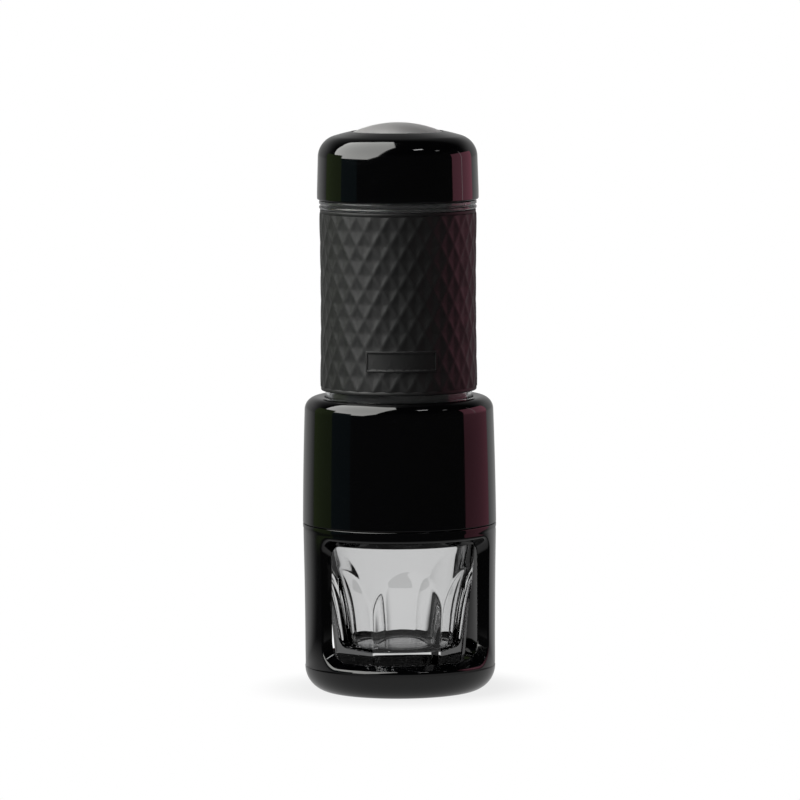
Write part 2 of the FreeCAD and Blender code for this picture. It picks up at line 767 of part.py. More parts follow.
def make_lower_plate():
    plug_outer = base_bore - S.loose_gap
    plug_inner = plug_outer - S.plug_wall
    plate_outer = S.seam_radius - S.head_wall - S.fit_gap
    plug_low = plate_low - S.plug_depth
    groove_low = base_ring_level - base_ring_half
    groove_high = base_ring_level + base_ring_half
    groove_radius = base_ring_seat
    collar_low_level = plate_top - S.collar_thick
    outline = [
        (S.spout_radius + S.fit_gap, plate_low),
        (plug_inner, plate_low),
        (plug_inner, plug_low),
        (plug_outer, plug_low),
        (plug_outer, groove_low),
        (groove_radius, groove_low),
        (groove_radius, groove_high),
        (plug_outer, groove_high),
        (plug_outer, plate_low),
        (plate_outer, plate_low),
        (plate_outer, plate_top),
        (S.spout_collar + S.fit_gap, plate_top),
        (S.spout_collar + S.fit_gap, collar_low_level),
        (S.spout_radius + S.fit_gap, collar_low_level),
    ]
    body = turned_body("lower_plate", outline)
    hole = S.screw_shank + S.fit_gap
    shaft = drill(body, "screw_hole", screw_circle, ZERO, hole, plate_top, S.plate_thick)
    repeat_round(body, shaft, SCREWS_ROUND)
    head_depth = S.screw_head_tall + S.fit_gap
    head = S.screw_head + S.fit_gap
    seat = drill(body, "screw_seat", screw_circle, ZERO, head, plate_low + head_depth, head_depth)
    repeat_round(body, seat, SCREWS_ROUND)
    return body


def make_spout():
    spout_low = plate_low - S.spout_drop
    collar_level = plate_top - S.collar_thick
    outline = [
        (S.chamber_outlet, spout_low),
        (S.spout_radius - S.spout_flare, spout_low),
        (S.spout_radius, spout_low + S.spout_flare),
        (S.spout_radius, collar_level),
        (S.spout_collar, collar_level),
        (S.spout_collar, plate_top),
        (S.chamber_outlet, plate_top),
    ]
    return turned_body("spout", outline)


def make_brew_chamber():
    outer = neck_outer
    socket = neck_bore - S.fit_gap
    floor_top = chamber_low + S.chamber_floor
    outline = [
        (S.chamber_outlet, chamber_low),
        (outer, chamber_low),
        (outer, chamber_top - S.fit_gap),
        (socket, chamber_top - S.fit_gap),
        (socket, ledge),
        (chamber_bore, ledge),
        (chamber_bore, floor_top),
        (S.chamber_outlet, floor_top - S.chamber_dish),
    ]
    body = turned_body("brew_chamber", outline)
    hole = S.screw_shank + S.fit_gap
    bite = S.screw_bite + S.fit_gap
    shaft = drill(body, "screw_hole", screw_circle, ZERO, hole, chamber_low + bite, bite)
    repeat_round(body, shaft, SCREWS_ROUND)
    return body


def screw_solid(shank, head, head_tall, low, high):
    """A pan head screw that points up, as a solid."""
    blank = Part.makeCylinder(head, head_tall, V(0, 0, low))
    return blank.fuse(Part.makeCylinder(shank, high - low, V(0, 0, low)))


def screws_round(name, screw, circle):
    """Copies of a screw evenly round the upright axis, as one node."""
    screw.translate(V(circle, 0, 0))
    copies = []
    for step in range(SCREWS_ROUND):
        copy = screw.copy()
        copy.rotate(V(0, 0, 0), V(0, 0, 1), 2 * HALF_TURN * step / SCREWS_ROUND)
        copies.append(copy)
    group = doc.addObject("Part::Feature", name)
    group.Label = name
    group.Shape = Part.makeCompound(copies)
    return group


def make_plate_screws():
    low = plate_low.value + S.fit_gap.value
    high = chamber_low.value + S.screw_bite.value
    screw = screw_solid(S.screw_shank.value, S.screw_head.value, S.screw_head_tall.value - S.fit_gap.value,
                        low, high)
    return screws_round("plate_screws", screw, screw_circle.value)


def make_basket_gasket():
    inner = chamber_bore + S.fit_gap
    outer = neck_bore - S.fit_gap * 2
    return turned_body("basket_gasket", box_outline(inner, outer, ledge, ledge + S.gasket_thick))


# The coffee basket, which lifts out of the chamber, and the filter disc in it.


def drilled_rings(body, level, depth, rings):
    """Drills rings of small holes, given by their radius and number, and one in the middle."""
    drill(body, "middle_hole", ZERO, ZERO, S.filter_hole, level, depth)
    for number, (radius, count) in enumerate(rings, start=1):
        hole = drill(body, "hole_%d" % number, as_size(radius), ZERO, S.filter_hole, level, depth)
        repeat_round(body, hole, count)


def make_coffee_basket():
    low = basket_low
    inner = basket_radius - S.basket_wall
    rim = neck_bore - S.fit_gap - S.loose_gap
    outline = [
        (ZERO, low),
        (basket_radius, low),
        (basket_radius, flange_low),
        (rim, flange_low),
        (rim, flange_top),
        (inner, flange_top),
        (inner, low + S.basket_wall),
        (ZERO, low + S.basket_wall),
    ]
    body = turned_body("coffee_basket", outline)
    top = low + S.basket_wall
    drilled_rings(body, top, S.basket_wall, [(inner * 0.3, 6), (inner * 0.6, 12), (inner * 0.85, 18)])
    return body


def make_basket_filter():
    low = basket_low + S.basket_wall + S.fit_gap
    outer = basket_radius - S.basket_wall - S.fit_gap
    high = low + S.filter_thick
    body = turned_body("basket_filter", box_outline(ZERO, outer, low, high))
    drilled_rings(body, high, S.filter_thick, [(outer * 0.2, 6), (outer * 0.5, 12), (outer * 0.75, 24)])
    return body


# The clear tank with its grip sleeve, and the pump that hangs in its floor.


def make_water_tank():
    top = tank_top
    bead_low_top = collar_low + S.collar_low
    groove_top = bead_low_top + S.collar_mid
    ring_low = tank_ring_level - tank_ring_half
    ring_high = tank_ring_level + tank_ring_half
    ring_radius = tank_ring_seat
    hole = cylinder_outer + S.fit_gap
    outline = [
        (hole, tank_floor_low),
        (tank_bore, tank_floor_low),
        (tank_bore, skirt_low),
        (tank_radius, skirt_low),
        (tank_radius, ring_low),
        (ring_radius, ring_low),
        (ring_radius, ring_high),
        (tank_radius, ring_high),
        (tank_radius, collar_low),
        (bead_radius, collar_low),
        (bead_radius, bead_low_top),
        (collar_groove, bead_low_top),
        (collar_groove, groove_top),
        (bead_radius, groove_top),
        (bead_radius, top),
        (tank_bore, top),
        (tank_bore, tank_floor_top),
        (hole, tank_floor_top),
    ]
    body = turned_body("water_tank", outline)
    beads = [
        (bead_radius, collar_low),
        (bead_radius, bead_low_top),
        (bead_radius, groove_top),
        (bead_radius, top),
    ]
    round_rings(body, "bead_edges", S.bead_round, beads)
    return body


def make_grip_sleeve():
    """A moulded sleeve whose outside is a net of diamonds, each sunk towards its middle."""
    around = int(S.diamonds_round.value)
    rows = int(S.diamond_rows.value)
    low = sleeve_low.value
    high = sleeve_high.value
    bore = tank_radius.value + S.fit_gap.value
    plain_low = low + S.sleeve_band.value
    plain_high = high - S.sleeve_band.value
    row_height = (plain_high - plain_low) / rows
    middle = (plain_low + plain_high) / 2
    half_height = (plain_high - plain_low) / 2
    band = sleeve_radius.value - S.sleeve_step.value

    def outer_at(level):
        away = (level - middle) / half_height
        return sleeve_radius.value - S.sleeve_waist.value * (1 - away * away)

    def corner(step, row):
        """A corner of the net: step counts half diamonds round, row half diamonds up."""
        angle = math.pi * step / around
        level = plain_low + row * row_height
        radius = outer_at(level)
        if (step + row) % 2:
            radius -= S.diamond_depth.value
        if row in (0, rows):
            radius = band
        return V(radius * math.sin(angle), -radius * math.cos(angle), level)

    def ring_corner(step, radius, level):
        angle = math.pi * step / around
        return V(radius * math.sin(angle), -radius * math.cos(angle), level)

    faces = []

    def add_face(*points):
        faces.append(Part.Face(Part.makePolygon(list(points) + [points[0]])))

    for step in range(2 * around):
        after = (step + 1) % (2 * around)
        for row in range(rows):
            here = corner(step, row)
            beside = corner(after, row)
            above = corner(step, row + 1)
            across = corner(after, row + 1)
            if (step + row) % 2:
                add_face(here, beside, above)
                add_face(beside, across, above)
            else:
                add_face(here, beside, across)
                add_face(here, across, above)
        edge = S.sleeve_step.value
        for level, end, inward in ((low, low + edge, band - edge), (high, high - edge, band - edge)):
            to = plain_low if level == low else plain_high
            quads = [
                (ring_corner(step, band, to), ring_corner(after, band, to),
                 ring_corner(after, band, end), ring_corner(step, band, end)),
                (ring_corner(step, band, end), ring_corner(after, band, end),
                 ring_corner(after, inward, level), ring_corner(step, inward, level)),
                (ring_corner(step, inward, level), ring_corner(after, inward, level),
                 ring_corner(after, inner_corner(bore, around), level),
                 ring_corner(step, inner_corner(bore, around), level)),
            ]
            for quad in quads:
                add_face(*quad)
        inner = inner_corner(bore, around)
        add_face(ring_corner(step, inner, low), ring_corner(after, inner, low),
                 ring_corner(after, inner, high), ring_corner(step, inner, high))
    shell = Part.makeShell(faces)
    shell.sewShape()
    solid = Part.makeSolid(shell)
    if solid.Volume < 0:
        solid.reverse()
    sleeve = doc.addObject("Part::Feature", "grip_sleeve")
    sleeve.Label = "grip_sleeve"
    sleeve.Shape = solid
    return sleeve


def inner_corner(bore, around):
    """The corner radius of a many-sided bore whose flats lie at the bore's radius."""
    return bore / math.cos(math.pi / (2 * around))


def make_pump_cylinder():
    flange_top_level = cylinder_low + S.cylinder_flange_thick
    outline = [
        (S.bore_radius, cylinder_low),
        (S.cylinder_flange, cylinder_low),
        (S.cylinder_flange, flange_top_level),
        (cylinder_outer, flange_top_level),
        (cylinder_outer, cylinder_top),
        (S.bore_radius, cylinder_top),
    ]
    body = turned_body("pump_cylinder", outline)
    for name, role in (("ports_across", "XZ_Plane"), ("ports_along", "YZ_Plane")):
        sketch = new_sketch(body, name + "_circle", role)
        draw_circle(sketch, ZERO, cylinder_top - S.port_drop, S.port_radius)
        before = volume_of(body)
        pocket = body.newObject("PartDesign::Pocket", "pump_cylinder_" + name)
        pocket.Profile = sketch
        pocket.Type = 1
        pocket.Midplane = True
        if volume_of(body) >= before:
            raise RuntimeError(name + " cut nothing")
    return body


def make_valve_block():
    body = turned_body("valve_block", box_outline(ZERO, S.cylinder_flange, block_low, block_top))
    drill(body, "stem_hole", ZERO, ZERO, S.valve_stem + S.run_gap, block_top, S.block_thick)
    hole = drill(body, "outlet", S.valve_hole_circle, ZERO, S.valve_hole, block_top, S.block_thick)
    repeat_round(body, hole, 4)
    return body


def make_outlet_valve():
    disc_top = block_low - S.loose_gap
    disc_low = disc_top - S.valve_disc_thick
    bulb_low = block_top + S.valve_travel + S.run_gap
    bulb_top = bulb_low + S.valve_bulb / 2
    outline = [
        (ZERO, disc_low),
        (S.valve_disc, disc_low),
        (S.valve_disc, disc_top),
        (S.valve_stem, disc_top),
        (S.valve_stem, bulb_low),
        (S.valve_bulb, bulb_low),
        (S.valve_stem, bulb_top),
        (ZERO, bulb_top),
    ]
    return turned_body("outlet_valve", outline)


def make_shower_screen():
    low = skirt_low + S.screen_rise
    high = low + S.screen_thick
    outer = tank_bore - S.fit_gap
    body = turned_body("shower_screen", box_outline(ZERO, outer, low, high))
    drilled_rings(body, high, S.screen_thick, [(outer * 0.25, 6), (outer * 0.5, 12), (outer * 0.75, 18)])
    return body


def make_tank_gasket():
    inner = tank_bore - S.gasket_lap
    lip = tank_bore - S.fit_gap
    outer = tank_radius - S.fit_gap
    outline = [
        (inner, tank_gasket_low),
        (outer, tank_gasket_low),
        (outer, skirt_low - S.fit_gap),
        (lip, skirt_low - S.fit_gap),
        (lip, skirt_low + S.screen_rise - S.fit_gap),
        (inner, skirt_low + S.screen_rise - S.fit_gap),
    ]
    return turned_body("tank_gasket", outline)


# The pump's moving pieces.


def make_piston_rod():
    tip_low = piston_low + S.piston_floor
    neck_top = plate_upper + S.loose_gap * 2 + S.clip_thick
    shoulder = plate_lower - S.loose_gap
    clip_low = plate_upper + S.loose_gap
    outline = [
        (ZERO, tip_low),
        (S.rod_tip, tip_low),
        (S.rod_tip, piston_top + S.fit_gap),
        (S.rod_radius, piston_top + S.fit_gap),
        (S.rod_radius, shoulder),
        (S.rod_neck, shoulder),
        (S.rod_neck, clip_low),
        (clip_seat, clip_low),
        (clip_seat, clip_low + S.clip_thick),
        (S.rod_neck, clip_low + S.clip_thick),
        (S.rod_neck, neck_top),
        (ZERO, neck_top),
    ]
    return turned_body("piston_rod", outline)


def make_rod_clip():
    low = plate_upper + S.loose_gap + S.fit_gap
    high = low + S.clip_thick - S.fit_gap * 2
    return turned_body("rod_clip", box_outline(clip_seat + S.fit_gap, S.clip_radius, low, high))


def make_piston_head():
    side = S.bore_radius - S.piston_side
    seat = piston_ring_seat
    low_wall = piston_ring_level - piston_ring_half
    high_wall = piston_ring_level + piston_ring_half
    hole = S.rod_tip + S.fit_gap
    hole_low = piston_low + S.piston_floor - S.fit_gap
    outline = [
        (ZERO, piston_low),
        (side, piston_low),
        (side, low_wall),
        (seat, low_wall),
        (seat, high_wall),
        (side, high_wall),
        (side, piston_top),
        (hole, piston_top),
        (hole, hole_low),
        (ZERO, hole_low),
    ]
    return turned_body("piston_head", outline)


# The lid, which closes the tank and carries the pump.


def make_tank_lid():
    spigot_outer = tank_bore - S.loose_gap
    spigot_inner = spigot_outer - S.lid_spigot_wall
    spigot_low = lid_low - S.lid_spigot
    seat = lid_ring_seat
    ring_low = lid_ring_level - lid_ring_half
    ring_high = lid_ring_level + lid_ring_half
    bush_hole = S.bush_radius + S.fit_gap
    outline = [
        (bush_hole, well_level),
        (well_outer, well_level),
        (well_outer, lid_low),
        (spigot_inner, lid_low),
        (spigot_inner, spigot_low),
        (spigot_outer, spigot_low),
        (spigot_outer, ring_low),
        (seat, ring_low),
        (seat, ring_high),
        (spigot_outer, ring_high),
        (spigot_outer, lid_low),
        (lid_flange, lid_low),
        (lid_flange, lid_top),
        (well_bore, lid_top),
        (well_bore, well_inside),
        (bush_hole, well_inside),
    ]
    body = turned_body("tank_lid", outline)
    inner = core_skirt + S.lug_reach + S.lock_gap
    outer = inner + S.hook_wall
    lip = inner - S.hook_lip
    top = lid_top + S.hook_height
    root_level = lid_top - S.lid_flange_thick / 2
    hook = [
        (inner, root_level),
        (outer, root_level),
        (outer, top),
        (lip, top),
        (lip, top - S.hook_lip_thick),
        (inner, top - S.hook_lip_thick),
    ]
    feature = add_turned(body, "hook", hook, 0, S.hook_sweep)
    repeat_round(body, feature, S.hook_count.value)
    return body


def make_rod_bushing():
    bush_low = well_level - S.bush_drop
    bore = S.rod_radius + S.run_gap
    collar = S.bush_radius + S.bush_collar
    outline = [
        (bore, bush_low),
        (collar, bush_low),
        (collar, well_level - S.fit_gap),
        (S.bush_radius, well_level - S.fit_gap),
        (S.bush_radius, well_inside),
        (bore, well_inside),
    ]
    return turned_body("rod_bushing", outline)


def spring_path(radius, low, height, turns):
    """A helix as a chain of arcs, four to the turn."""
    steps = int(turns) * 4
    rise = height / steps

    def point(at):
        angle = math.pi / 2 * at
        return V(radius * math.cos(angle), radius * math.sin(angle), low + rise * at)

    arcs = [Part.Arc(point(step), point(step + 0.5), point(step + 1)).toShape() for step in range(steps)]
    return Part.Wire(arcs)


def make_return_spring():
    """The open coil that lifts the handle, one unbroken wire."""
    low = well_inside.value + S.loose_gap.value + S.wire_radius.value
    high = plate_lower.value - S.loose_gap.value - S.wire_radius.value
    height = high - low
    turns = S.spring_turns.value
    path = spring_path(spring_radius.value, low, height, turns)
    start = path.Edges[0]
    tangent = start.tangentAt(start.FirstParameter)
    section = Part.Wire([Part.makeCircle(S.wire_radius.value, V(spring_radius.value, 0, low), tangent)])
    solid = path.makePipeShell([section], True, False)
    least = height / turns - 2 * S.wire_radius.value
    expected = math.pi * S.wire_radius.value ** 2 * path.Length
    print("spring: least gap between turns %.2f mm" % least)
    print("spring: volume %.1f, section times length %.1f" % (solid.Volume, expected))
    if solid.Volume < 0:
        solid.reverse()
    spring = doc.addObject("Part::Feature", "return_spring")
    spring.Label = "return_spring"
    spring.Shape = solid
    return spring


# The handle: the cap that the hand pushes, its metal crown, and what holds it to the rod.


def make_handle_cap():
    seat = crown_radius + S.crown_groove
    crown_edge = dome_middle + on_circle(S.cap_dome, crown_radius)
    crown_low = crown_edge - S.crown_thick
    seat_edge = dome_middle + on_circle(S.cap_dome, seat)
    share = S.cap_dome / (S.cap_dome - S.cap_shoulder)
    meet_across = shoulder_across * share
    meet_level = dome_middle + (shoulder_level - dome_middle) * share
    inner_round = S.cap_shoulder - S.cap_wall
    inner_side = shoulder_across + inner_round
    outline = [
        (cap_inner, cap_low),
        (cap_radius, cap_low),
        (cap_shoulder_radius, shoulder_level, "out", S.cap_shoulder),
        (meet_across, meet_level, "out", S.cap_dome),
        (seat, seat_edge),
        (seat, crown_low),
        (ZERO, crown_low),
        (ZERO, ceiling),
        (shoulder_across, ceiling, "in", inner_round),
        (inner_side, shoulder_level),
    ]
    body = turned_body("handle_cap", outline)
    round_rings(body, "lower_edge", S.cap_edge, [(cap_radius, cap_low)])
    boss_tall = ceiling + S.cap_wall / 4 - plate_upper
    boss = raise_post(body, "boss", core_screw_circle, ZERO, S.core_boss, plate_upper, boss_tall)
    repeat_round(body, boss, SCREWS_ROUND)
    depth = S.core_gap + S.loose_gap
    hole_radius = S.core_screw + S.fit_gap
    hole = drill(body, "screw_hole", core_screw_circle, ZERO, hole_radius, plate_upper + depth, depth)
    repeat_round(body, hole, SCREWS_ROUND)
    return body


def make_crown_disc():
    edge = dome_middle + on_circle(S.cap_dome, crown_radius)
    outline = [
        (ZERO, edge - S.crown_thick),
        (crown_radius, edge - S.crown_thick),
        (crown_radius, edge, "out", S.cap_dome),
        (ZERO, cap_top),
    ]
    return turned_body("crown_disc", outline)


def make_handle_core():
    hub_inner = tube_outer + S.fit_gap
    hub_outer = hub_inner + S.hub_wall
    hub_low = tube_top - S.hub_depth
    skirt_inner = core_skirt - S.core_wall
    plate_edge = shoulder_across + on_circle(S.cap_shoulder - S.cap_wall, plate_upper - shoulder_level)
    plate_radius = plate_edge - S.loose_gap
    outline = [
        (S.rod_neck + S.run_gap, plate_lower),
        (hub_inner, plate_lower),
        (hub_inner, hub_low),
        (hub_outer, hub_low),
        (hub_outer, plate_lower),
        (skirt_inner, plate_lower),
        (skirt_inner, core_skirt_low),
        (core_skirt, core_skirt_low),
        (core_skirt, plate_lower),
        (plate_radius, plate_lower),
        (plate_radius, plate_upper),
        (S.rod_neck + S.run_gap, plate_upper),
    ]
    body = turned_body("handle_core", outline)
    lug_top = lid_top + S.hook_height - S.hook_lip_thick - S.loose_gap * 2
    lug_root = core_skirt - S.core_wall / 2
    lug_end = core_skirt + S.lug_reach
    lug = box_outline(lug_root, lug_end, lug_top - S.lug_thick, lug_top)
    between_hooks = HALF_TURN / S.hook_count.value
    feature = add_turned(body, "lug", lug, between_hooks, S.lug_sweep)
    repeat_round(body, feature, S.hook_count.value)
    hole_radius = S.core_screw + S.fit_gap
    hole = drill(body, "screw_hole", core_screw_circle, ZERO, hole_radius, plate_upper, S.core_plate)
    repeat_round(body, hole, SCREWS_ROUND)
    return body


def make_core_screws():
    head_tall = S.core_screw_head_tall.value
    low = plate_lower.value - head_tall - S.fit_gap.value
    high = plate_upper.value + S.core_gap.value
    screw = screw_solid(S.core_screw.value, S.core_screw_head.value, head_tall, low, high)
    return screws_round("core_screws", screw, core_screw_circle.value)


def make_guide_tube():
    outline = box_outline(tube_bore, tube_outer, tube_low, tube_top)
    return turned_body("guide_tube", outline)


PIECES = [
    make_base_housing(),
    make_foot_ring(),
    make_cup_mat(),
    make_glass_cup(),
    seal_ring("base_seal", base_ring_middle, base_ring_level, S.base_ring),
    make_brew_housing(),
    make_lower_plate(),
    make_plate_screws(),
    make_spout(),
    make_brew_chamber(),
    make_basket_gasket(),
    make_coffee_basket(),
    make_basket_filter(),
    seal_ring("tank_seal", tank_ring_middle, tank_ring_level, S.tank_ring),
    make_water_tank(),
    make_grip_sleeve(),
    make_pump_cylinder(),
    make_valve_block(),
    make_outlet_valve(),
    make_shower_screen(),
    make_tank_gasket(),
    make_piston_rod(),
    make_rod_clip(),
    make_piston_head(),
    seal_ring("piston_seal", piston_ring_middle, piston_ring_level, S.piston_ring),
    seal_ring("lid_seal", lid_ring_middle, lid_ring_level, S.lid_ring),
    make_tank_lid(),
    make_rod_bushing(),
    make_return_spring(),
    make_handle_cap(),
    make_crown_disc(),
    make_handle_core(),
    make_core_screws(),
    make_guide_tube(),
]

doc.recompute()
for item in doc.Objects:
    if "Invalid" in item.State or "Error" in item.State:
        raise RuntimeError("%s is %s" % (item.Label, item.State))
for piece in PIECES:
    if piece.Shape.isNull() or not piece.Shape.isValid():
        raise RuntimeError(piece.Label + " has no valid shape")
    if piece.Shape.Volume <= 0 or not piece.Shape.Solids:
        raise RuntimeError(piece.Label + " has no volume")

os.makedirs("parts", exist_ok=True)
for piece in PIECES:
    piece.Shape.exportStep("parts/%s.step" % piece.Label)
print("%d pieces" % len(PIECES))
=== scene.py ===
import json
import math

import bmesh
import bpy
from mathutils import Matrix, Vector


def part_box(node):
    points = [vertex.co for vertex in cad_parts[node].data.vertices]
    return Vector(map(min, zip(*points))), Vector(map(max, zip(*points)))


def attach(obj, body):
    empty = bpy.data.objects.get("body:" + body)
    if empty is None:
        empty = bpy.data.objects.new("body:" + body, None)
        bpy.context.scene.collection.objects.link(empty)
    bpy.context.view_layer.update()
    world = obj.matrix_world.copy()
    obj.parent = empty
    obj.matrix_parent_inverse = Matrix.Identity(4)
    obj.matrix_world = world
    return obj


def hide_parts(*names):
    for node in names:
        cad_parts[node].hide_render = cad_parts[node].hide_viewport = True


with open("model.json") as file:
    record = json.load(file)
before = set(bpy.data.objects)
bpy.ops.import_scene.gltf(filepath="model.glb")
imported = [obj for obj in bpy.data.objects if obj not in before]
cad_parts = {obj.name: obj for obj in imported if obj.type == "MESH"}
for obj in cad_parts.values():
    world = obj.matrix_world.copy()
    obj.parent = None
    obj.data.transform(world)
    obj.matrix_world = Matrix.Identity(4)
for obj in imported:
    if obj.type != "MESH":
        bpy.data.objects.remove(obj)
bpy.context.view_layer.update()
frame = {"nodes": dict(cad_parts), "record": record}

bl_info = {
    "name": "Hand-pumped espresso maker",
    "version": (1, 0, 0),
    "blender": (4, 5, 0),
    "location": "3D View > Sidebar > Espresso",
    "description": "Dresses the packed espresso maker with its shells, glass, sleeve and metal",
    "category": "Object",
}

MM = 0.001
TURN_STEPS = 160
QUARTER = math.pi / 2
ON_AXIS = 1e-7
WELD = 0.002 * MM
SLICE_WELD = 0.0001 * MM


def low_of(node):
    """The lowest level of a node."""
    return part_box(node)[0].z


def high_of(node):
    """The highest level of a node."""
    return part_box(node)[1].z


def reach_of(node):
    """The largest radius of a node."""
    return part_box(node)[1].x


def length(name, text, default):
    """A property for a length in metres."""
    return bpy.props.FloatProperty(name=name, description=text, default=default, unit="LENGTH",
                                   min=0.0, precision=5)


def colour(name, text, default):
    """A property for a colour."""
    return bpy.props.FloatVectorProperty(name=name, description=text, default=default, subtype="COLOR",
                                         size=3, min=0.0, max=1.0)


class MakerSizes(bpy.types.PropertyGroup):
    """Sizes of the shells, read from the frame where a node gives them."""

    seam_radius: length("Seam radius", "Outside radius where base and head meet", reach_of("base_housing"))
    base_bore: length("Base bore", "Inside radius of the base", 31.5 * MM)
    base_floor: length("Base floor", "Level of the floor inside the base", 7.0 * MM)
    base_round: length("Base rounding", "Radius of the rounded lower edge", 9.6 * MM)
    base_draw: length("Base draw", "How much narrower the base is at that edge", 0.55 * MM)
    window_top_out: length("Window top outside", "Upper edge of the window outside", 60.0 * MM)
    window_top_in: length("Window top inside", "Upper edge of the window inside", 56.9 * MM)
    window_low_out: length("Window bottom outside", "Lower edge of the window outside", 10.9 * MM)
    window_low_in: length("Window bottom inside", "Lower edge of the window inside", 13.1 * MM)
    window_edge: length("Window edge", "Rounding of the window's rims", 0.8 * MM)
    window_sweep: bpy.props.FloatProperty(name="Window sweep", description="Angle that each window takes",
                                          default=math.radians(121.5), subtype="ANGLE")
    head_top_radius: length("Head top radius", "Outside radius under the shoulder", 36.03 * MM)
    shoulder_round: length("Shoulder", "Radius of the head's shoulder", 5.0 * MM)
    tank_radius: length("Tank radius", "Outside radius of the clear tank", 28.0 * MM)
    tank_wall: length("Tank wall", "Wall of the clear tank", 2.2 * MM)
    bead_radius: length("Bead radius", "Outside radius of the clear collar", reach_of("water_tank"))
    collar_low: length("Lower bead", "Height of the collar's lower bead", 1.3 * MM)
    collar_mid: length("Collar groove", "Height of the groove between the beads", 0.4 * MM)
    collar_high: length("Upper bead", "Height of the collar's upper bead", 1.6 * MM)
    sleeve_radius: length("Sleeve radius", "Outside radius of the sleeve's ends", 30.05 * MM)
    sleeve_waist: length("Sleeve waist", "How much the sleeve draws in at its waist", 0.4 * MM)
    sleeve_band: length("Sleeve band", "Height of the plain bands at the sleeve's ends", 1.6 * MM)
    sleeve_step: length("Sleeve step", "How far those bands stand back", 0.35 * MM)
    diamond_depth: length("Diamond depth", "Depth of each diamond at its middle", 0.45 * MM)
    diamonds_round: bpy.props.IntProperty(name="Diamonds round", description="Diamonds round the sleeve",
                                          default=28, min=3)
    diamond_rows: bpy.props.IntProperty(name="Half diamonds up", description="Half diamonds up the sleeve",
                                        default=12, min=2)
    cap_dome: length("Cap dome", "Radius of the cap's dome", 85.0 * MM)
    cap_shoulder: length("Cap shoulder", "Radius of the cap's shoulder", 8.5 * MM)
    crown_radius: length("Crown radius", "Radius of the metal disc", 17.2 * MM)
    crown_dome: length("Crown dome", "Radius of the disc's own dome", 42.0 * MM)
    crown_groove: length("Crown groove", "Groove left round the metal disc", 0.3 * MM)
    crown_proud: length("Crown height", "How far the disc rises past the cap's dome", 1.45 * MM)


class MakerColours(bpy.types.PropertyGroup):
    """Base colours of the finishes."""

    gloss_black: colour("Gloss black", "Polished housings", (0.0016, 0.0017, 0.0022))
    satin_black: colour("Satin black", "Moulded inner pieces", (0.018, 0.018, 0.019))
    silicone: colour("Silicone", "Grip sleeve, foot and mat", (0.0115, 0.0118, 0.0125))
    seal: colour("Seal", "Seal rings and gaskets", (0.36, 0.36, 0.35))
    bush: colour("Bush", "Turned bush and piston", (0.72, 0.71, 0.67))
    clear: colour("Clear tank", "Clear tank plastic", (0.93, 0.95, 0.95))
    glass: colour("Cup glass", "Glass of the cup", (0.985, 0.988, 0.99))
    steel: colour("Steel", "Tubes, rod, basket and screws", (0.58, 0.58, 0.59))
    crown: colour("Crown metal", "Disc in the cap", (0.74, 0.73, 0.73))


class MakerStage(bpy.types.PropertyGroup):
    """Camera and light."""

    camera_distance: length("Camera distance", "Along the table from the maker", 2.28)
    camera_height: length("Camera height", "Above the table", 0.33)
    camera_turn: bpy.props.FloatProperty(name="Camera turn", description="From the front to the right",
                                         default=math.radians(-6.7), subtype="ANGLE")
    aim_height: length("Aim height", "Level at the middle of the picture", 0.11086)
    aim_across: bpy.props.FloatProperty(name="Aim across", description="Sideways aim", default=0.00042,
                                        unit="LENGTH", precision=5)
    lens: bpy.props.FloatProperty(name="Lens", description="Focal length in mm", default=270.0)
    roll: bpy.props.FloatProperty(name="Roll", description="Tilt of the camera about its view",
                                  default=math.radians(-0.3), subtype="ANGLE")
    sky: bpy.props.FloatProperty(name="Sky light", description="Strength of the even light", default=0.15)
    key: bpy.props.FloatProperty(name="Key light", description="Strength of the main sun", default=0.95)
    fill: bpy.props.FloatProperty(name="Fill light", description="Strength of the second sun", default=0.04)
    behind: bpy.props.FloatProperty(name="White behind", description="Strength of the white that gloss sees",
                                    default=0.42)


# Outlines and meshes.


def bend(start, end, radius, steps):
    """Points between two ends of a flat arc that bows to the right of the way."""
    chord = (end - start).length
    rise = radius - math.sqrt(radius * radius - chord * chord / 4)
    along = (end - start).normalized()
    across = Vector((along.y, -along.x))
    points = []
    for step in range(1, steps):
        share = step / steps
        bow = rise * (1 - (2 * share - 1) ** 2)
        points.append(start.lerp(end, share) + across * bow)
    return points


def quarter_turn(steps, first=0):
    """Even angles up to a quarter turn, with its end."""
    return [QUARTER * step / steps for step in range(first, steps + 1)]


def stretch(start, end, steps):
    """Even points on a straight line from start up to, but without, the end."""
    return [(start[0] + (end[0] - start[0]) * step / steps, start[1] + (end[1] - start[1]) * step / steps)
            for step in range(steps)]


def rounded(corners, steps=5):
    """An outline from corners (radius, level, rounding), each rounded by its own radius."""
    points = [Vector(corner[:2]) for corner in corners]
    count = len(points)
    outline = []
    for index, corner in enumerate(corners):
        here = points[index]
        rounding = corner[2] if len(corner) > 2 else 0
        if not rounding or index in (0, count - 1):
            outline.append(here)
            continue
        back = (points[index - 1] - here).normalized()
        ahead = (points[index + 1] - here).normalized()
        half = back.angle(ahead) / 2
        straight = abs(half - QUARTER) < 0.01
        if straight:
            outline.append(here)
            continue
        setback = rounding / math.tan(half)
        middle = here + (back + ahead).normalized() * (rounding / math.sin(half))
        first = here + back * setback - middle
        last = here + ahead * setback - middle
        sweep = first.angle_signed(last)
        for step in range(steps + 1):
            angle = -sweep * step / steps
            turned = Vector((first.x * math.cos(angle) - first.y * math.sin(angle),
                             first.x * math.sin(angle) + first.y * math.cos(angle)))
            outline.append(middle + turned)
    return outline


def at(radius, angle, level):
    """A point at a radius, an angle from the front and a level."""
    return Vector((radius * math.sin(angle), -radius * math.cos(angle), level))


def even_angles(steps=TURN_STEPS):
    """Evenly spread angles round the maker, from the back."""
    return [2 * math.pi * step / steps - math.pi for step in range(steps)]


